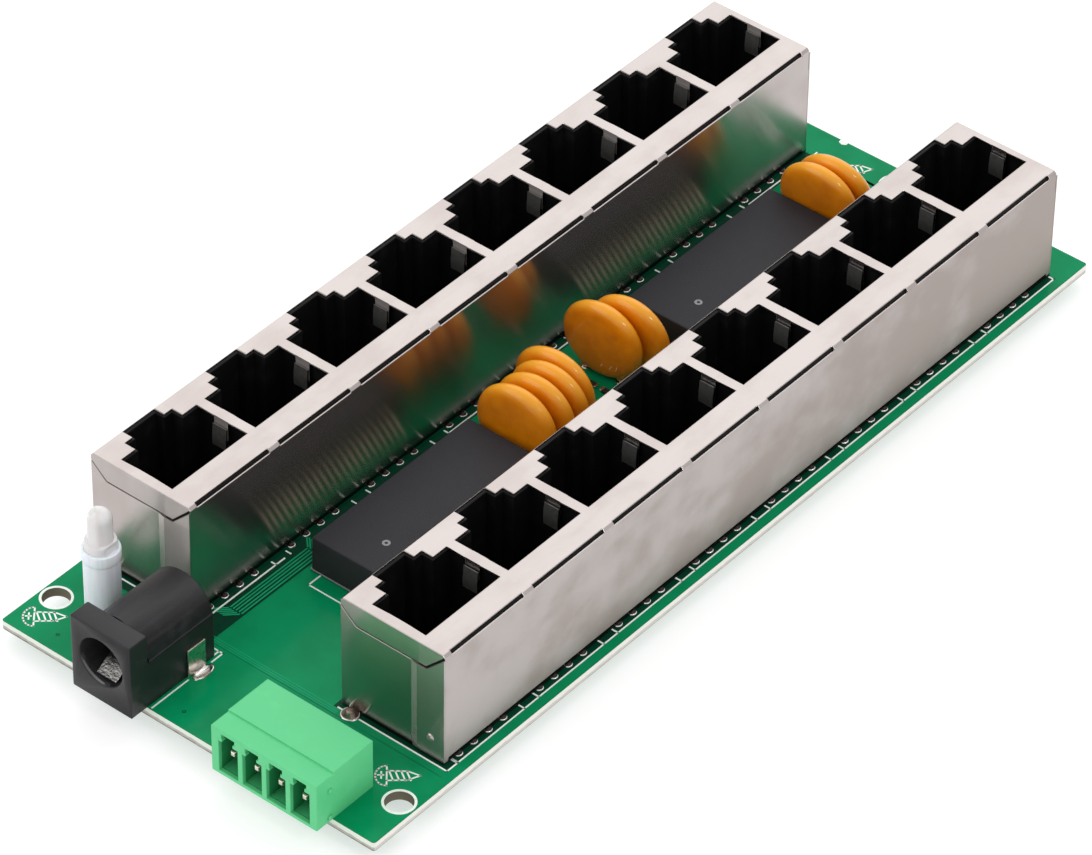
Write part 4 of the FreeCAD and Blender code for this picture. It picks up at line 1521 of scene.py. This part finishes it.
@dataclass
class TerminalHeader:
    """The four-way terminal header: moulding, cells lined in painted shade, and pins."""

    ease: float = 0.08
    overlap: float = 0.05
    roof: Triple = (4.7, 5.6, 0.5)
    sill: Triple = (0.7, 0.9, -0.35)
    right: float = 49.9
    nubs: Points = ((-0.45, 4.6), (-0.5, 0.65))
    nub_profile: Points = ((0.38, -0.05), (0.38, 0.08), (0.3, 0.18), (0.03, 0.22))
    cells: int = 4
    cell_pitch: float = 3.5
    cell_low: Flat = (35.55, 0.45)
    cell_high: Flat = (38.35, 5.3)
    cell_back: float = 4.0
    shade_lining: tuple[Flat, Flat] = ((0.01, -2.1), (0.05, -2.0))
    floor_lift: float = 0.02
    lips: Points = ((35.5, 36.05), (37.6, 38.4))
    lip_depth: Flat = (-2.58, -1.9)
    lip_drop: float = 0.42
    pin_middle: Flat = (36.95, 3.1)
    pin_taper: Points = ((0.2, -1.9), (0.3, -1.8), (0.5, -1.25), (0.5, 5.6))
    pin_tail: tuple[Flat, Flat] = ((-0.5, 4.6), (0.5, 5.6))
    pin_tail_drop: float = 0.45
    pin_ease: float = 0.06

    def build(self) -> None:
        """Builds the header's pieces."""
        self.build_moulding()
        self.build_cells()
        self.build_pins()

    def cell_shifts(self) -> list[float]:
        """Every cell's distance from the first."""
        return [cell * self.cell_pitch for cell in range(self.cells)]

    def build_moulding(self) -> None:
        """Copies the header with a thin roof, two nubs and lips in its cells' top corners."""
        header = PieceMesh("header_moulding")
        header.take("terminal_header")
        for point in header.mesh.verts:
            height = (point.co - CORNER).z / MM
            for low, high, lift in (self.roof, self.sill):
                if low < height < high:
                    point.co.z += lift * MM
        for y, z in self.nubs:
            place = tipped(on_board(self.right, y, z), 90.0, Axis.Y)
            header.turned(self.nub_profile, place, sides=20)
        front, back = self.lip_depth
        ceiling = self.cell_high[1]
        for shift in self.cell_shifts():
            for near, far in self.lips:
                corners = rectangle((near + shift, front), (far + shift, back))
                header.prism(corners, ceiling - self.lip_drop, ceiling + self.overlap)
        made = header.piece(HEADER, smooth=40.0, ease=self.ease)
        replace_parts(made, "terminal_header")

    def build_cells(self) -> None:
        """Lines the cells in painted shade, and gives the cell bottoms a lighter painted shade."""
        shade_lining = PieceMesh("header_cell_shade")
        floor_shades = PieceMesh("header_floor_shade")
        (outer, outer_mouth), (inner, inner_mouth) = self.shade_lining
        (left, low), (right, high) = self.cell_low, self.cell_high
        back = self.cell_back
        for shift in self.cell_shifts():
            rings = []
            for inset, y in (
                (outer, back - outer), (outer, outer_mouth),
                (inner, inner_mouth), (inner, back - inner),
            ):
                near = (left + shift + inset, low + inset)
                far = (right + shift - inset, high - inset)
                rings.append([on_board(x, y, z) for x, z in rectangle(near, far)])
            shade_lining.loft(rings)
            floor = rectangle(
                (left + shift + inner, inner_mouth), (right + shift - inner, back - inner)
            )
            floor_shades.prism(floor, low + self.floor_lift, low + inner + self.floor_lift)
        floor_shades.piece(HEADER_FLOOR_SHADE)
        shade_lining.piece(HEADER_CELL_SHADE)

    def build_pins(self) -> None:
        """Shapes the pins with tapered tips and square tails."""
        pins = PieceMesh("header_pins")
        (left, near), (right, far) = self.pin_tail
        for shift in self.cell_shifts():
            x, z = self.pin_middle[0] + shift, self.pin_middle[1]
            pins.loft([
                [on_board(x + u, y, z + v) for u, v in centred(half, half)]
                for half, y in self.pin_taper
            ])
            pins.prism(rectangle((x + left, near), (x + right, far)), 0.0, z - self.pin_tail_drop)
        made = pins.piece(TINNED, ease=self.pin_ease)
        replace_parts(made, "terminal_pins")


@dataclass
class PowerJack:
    """The power jack: moulding, lugs, pin, leaf, a lip lighter as a painted highlight, and the
    solder of its side lug.
    """

    axis: Flat = (18.0, 5.95)
    mouth: float = -2.6
    ease: float = 0.2
    lug_ease: float = 0.08
    pin: Points = ((0.3, 3.2), (0.7, 3.3), (0.92, 3.55), (1.0, 3.9), (1.0, 9.9), (0.9, 10.0))
    leaf: Flat = (1.45, 0.12)
    leaf_path: Points = (
        (0.9, -2.85), (1.4, -2.6), (2.2, -2.0), (3.2, -1.5), (4.2, -1.4), (6.0, -1.6), (9.9, -2.4),
    )
    bore: float = 3.22
    lip_turns: Flat = (70.0, 170.0)
    lip_insets: Flat = (0.02, 0.2)
    lip_depths: Triple = (0.1, 0.3, 0.8)
    lip_facets: int = 16
    joint: Flat = (23.35, 8.33)
    joint_radii: Flat = (0.75, 1.65)
    joint_profile: Points = (
        (1.0, 0.0), (0.98, 0.12), (0.86, 0.2), (0.72, 0.15), (0.6, 0.05), (0.02, 0.04),
    )

    def build(self) -> None:
        """Builds the jack's pieces."""
        eased_copy("power_jack", "jack_moulding", JACK, self.ease)
        for lug in ("side_lug", "rear_lug"):
            eased_copy(f"power_jack_{lug}", f"jack_{lug}", TINNED, self.lug_ease)
        x, z = self.axis
        axis = tipped(on_board(x, self.mouth, z), -90.0, Axis.X)
        pin = PieceMesh("jack_pin")
        pin.turned(self.pin, axis, sides=32)
        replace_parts(pin.piece(SHADED_NICKEL), "power_jack_pin")
        leaf = PieceMesh("jack_leaf")
        path = [on_board(x, self.mouth + depth, z + drop) for depth, drop in self.leaf_path]
        leaf.swept(path, Vector((1.0, 0.0, 0.0)), centred(*self.leaf))
        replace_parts(leaf.piece(SHADED_NICKEL, smooth=60.0), "power_jack_spring")
        self.build_lip(axis)
        self.build_joint()

    def build_lip(self, axis: Matrix) -> None:
        """Rounds the crescent in the lower left of the mouth, lighter grey as a painted highlight.

        Args:
            axis: The jack's axis, from its mouth inward.
        """
        lip = PieceMesh("jack_lip_highlight")
        start, end = self.lip_turns
        least, most = self.lip_insets
        rings = []
        for step in range(self.lip_facets + 1):
            share = step / self.lip_facets
            turn = math.radians(start + share * (end - start))
            inset = least + most * math.sin(math.pi * share)
            radii = (self.bore, self.bore - inset, self.bore)
            rings.append([
                axis @ (Vector((r * math.cos(turn), r * math.sin(turn), depth)) * MM)
                for r, depth in zip(radii, self.lip_depths)
            ])
        lip.loft(rings)
        lip.piece(JACK_LIP_HIGHLIGHT)

    def build_joint(self) -> None:
        """Solders the side lug to its long pad."""
        joint = PieceMesh("jack_lug_joint")
        place = upright(*self.joint) @ Matrix.Diagonal((*self.joint_radii, 1.0, 1.0))
        joint.turned(self.joint_profile, place, sides=36)
        joint.piece(SOLDER, smooth=60.0)


@dataclass
class IndicatorLamp:
    """The clear lamp on its nylon spacer."""

    place: Flat = (8.5, 7.95)
    base: Points = (
        (1.5, 10.5), (1.95, 10.55), (1.98, 10.7), (1.94, 11.6), (1.84, 11.78), (1.56, 11.85),
        (1.5, 11.95),
    )
    dome: Flat = (1.48, 14.82)
    dome_steps: int = 10
    tip: Flat = (0.03, 16.3)
    flat: float = 1.6
    spacer: Points = (
        (2.0, 0.0), (2.16, 0.15), (2.16, 9.0), (2.27, 9.15), (2.32, 9.4), (2.32, 10.4),
        (2.26, 10.62), (2.16, 10.7), (2.0, 10.72), (1.92, 10.6),
    )

    def build(self) -> None:
        """Turns the lens, with a flat on its right, and the spacer below it."""
        axis = upright(*self.place)
        lens = PieceMesh("lamp_dome")
        radius, middle = self.dome
        turns = [math.pi / 2 * step / self.dome_steps for step in range(self.dome_steps)]
        dome = [(radius * math.cos(a), middle + radius * math.sin(a)) for a in turns]
        lens.turned([*self.base, *dome, self.tip], axis)
        limit = on_board(self.place[0] + self.flat, 0.0).x
        for point in lens.mesh.verts:
            point.co.x = min(point.co.x, limit)
        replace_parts(lens.piece(RESIN), "lamp_lens")
        spacer = PieceMesh("lamp_tube")
        spacer.turned(self.spacer, axis)
        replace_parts(spacer.piece(NYLON), "lamp_spacer")


@dataclass
class ChipResistors:
    """The chip resistors beside the middle fuses."""

    cap: float = 0.3
    inset: Flat = (0.25, 0.02)
    foot: float = 0.03
    body_ease: float = 0.03
    cap_ease: float = 0.05

    def build(self) -> None:
        """Builds the dark bodies and their tinned end caps."""
        bodies = PieceMesh("chip_bodies")
        caps = PieceMesh("chip_caps")
        side, slack = self.inset
        for low, high in islands("chip_resistors"):
            left, near = (low - CORNER).x / MM, (low - CORNER).y / MM
            right, far = (high - CORNER).x / MM, (high - CORNER).y / MM
            tall = (high - CORNER).z / MM
            body = rectangle((left + side, near + slack), (right - side, far - slack))
            bodies.prism(body, self.foot, tall - slack)
            for first, last in ((left, left + self.cap), (right - self.cap, right)):
                caps.prism(rectangle((first, near), (last, far)), 0.0, tall)
        made = bodies.piece(CHIP, ease=self.body_ease)
        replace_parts(made, "chip_resistors")
        caps.piece(SOLDER, ease=self.cap_ease)


@dataclass
class FrontJoints:
    """The joints below the header, the jack and the lamp."""

    def build(self) -> None:
        """Builds the joints."""
        build_fillets("front_solder", "front_joints")


@dataclass
class Studio:
    """Floor, light and camera."""

    azimuth: float = 39.209
    elevation: float = 40.502
    roll: float = 0.849
    lens: float = 204.24
    eye: Triple = (375.447, -363.131, 472.891)
    sensor: float = 36.0
    floor_size: float = 3.0
    floor_gap: float = 0.02
    room_light: float = 0.85
    boxes: tuple[tuple[str, Triple, float, float], ...] = (
        ("back box", (-0.35, 0.62, 0.75), 1.3, 4.7),
        ("front box", (-0.45, -0.75, 0.65), 0.8, 2.2),
        ("key box", (0.9, -0.1, 1.0), 0.22, 1.6),
    )

    def build(self) -> None:
        """Sets up the studio."""
        bpy.context.scene.view_settings.view_transform = "Standard"
        self.build_floor()
        self.build_light()
        self.build_camera()

    def build_floor(self) -> None:
        """Lays the floor under the board's pegs."""
        half = self.floor_size / 2
        data = bpy.data.meshes.new("floor")
        data.from_pydata([(x, y, 0.0) for x, y in centred(half, half)], [], [(0, 1, 2, 3)])
        floor = bpy.data.objects.new("floor", data)
        floor.location.z = CAD_BOX[0].z - self.floor_gap * MM
        bpy.context.scene.collection.objects.link(floor)
        dress(floor, FLOOR)

    def build_light(self) -> None:
        """Hangs soft boxes in a white room."""
        world = bpy.data.worlds.new("white room")
        bpy.context.scene.world = world
        world.use_nodes = True
        room = world.node_tree.nodes["Background"]
        room.inputs["Color"].default_value = (1.0, 1.0, 1.0, 1.0)
        room.inputs["Strength"].default_value = self.room_light
        for box in self.boxes:
            self.soft_box(*box)

    def soft_box(self, name: str, place: Triple, size: float, power: float) -> None:
        """Hangs one soft box facing the board.

        Args:
            name: The light's name.
            place: Where it hangs, in metres.
            size: Its side.
            power: Its strength in watts.
        """
        light = bpy.data.lights.new(name, "AREA")
        light.size = size
        light.energy = power
        made = bpy.data.objects.new(name, light)
        made.location = place
        made.rotation_mode = "QUATERNION"
        made.rotation_quaternion = (-Vector(place)).to_track_quat("-Z", "Y")
        bpy.context.scene.collection.objects.link(made)

    def build_camera(self) -> None:
        """Stands the camera at the photograph's place."""
        turn, tilt, roll = (math.radians(a) for a in (self.azimuth, self.elevation, self.roll))
        ahead = Vector((
            -math.sin(turn) * math.cos(tilt), math.cos(turn) * math.cos(tilt), -math.sin(tilt)
        ))
        right = Vector((math.cos(turn), math.sin(turn), 0.0))
        up = right.cross(ahead)
        level = math.cos(roll) * right + math.sin(roll) * up
        upward = -math.sin(roll) * right + math.cos(roll) * up
        axes = Matrix((level, upward, -ahead)).transposed().to_4x4()
        data = bpy.data.cameras.new("camera")
        data.lens = self.lens
        data.sensor_width = self.sensor
        data.sensor_fit = "HORIZONTAL"
        data.clip_start = 0.01
        camera = bpy.data.objects.new("camera", data)
        camera.matrix_world = Matrix.Translation(on_board(*self.eye)) @ axes
        bpy.context.scene.collection.objects.link(camera)
        bpy.context.scene.camera = camera


def main() -> None:
    """Builds the sub-assemblies in order."""
    logging.basicConfig(level=logging.INFO, format="%(name)s: %(message)s")
    assemblies = [
        Studio(),
        CircuitBoard(),
        JackBank(Side.LEFT, 0.97, pad_reach=15.5),
        JackBank(Side.RIGHT, 38.42),
        Transformer(Place.FRONT),
        Transformer(Place.REAR),
        FuseRow(),
        TerminalHeader(),
        PowerJack(),
        IndicatorLamp(),
        ChipResistors(),
        FrontJoints(),
    ]
    for assembly in assemblies:
        assembly.build()
        log.info("built %s", type(assembly).__name__)


if __name__ == "__main__":
    main()
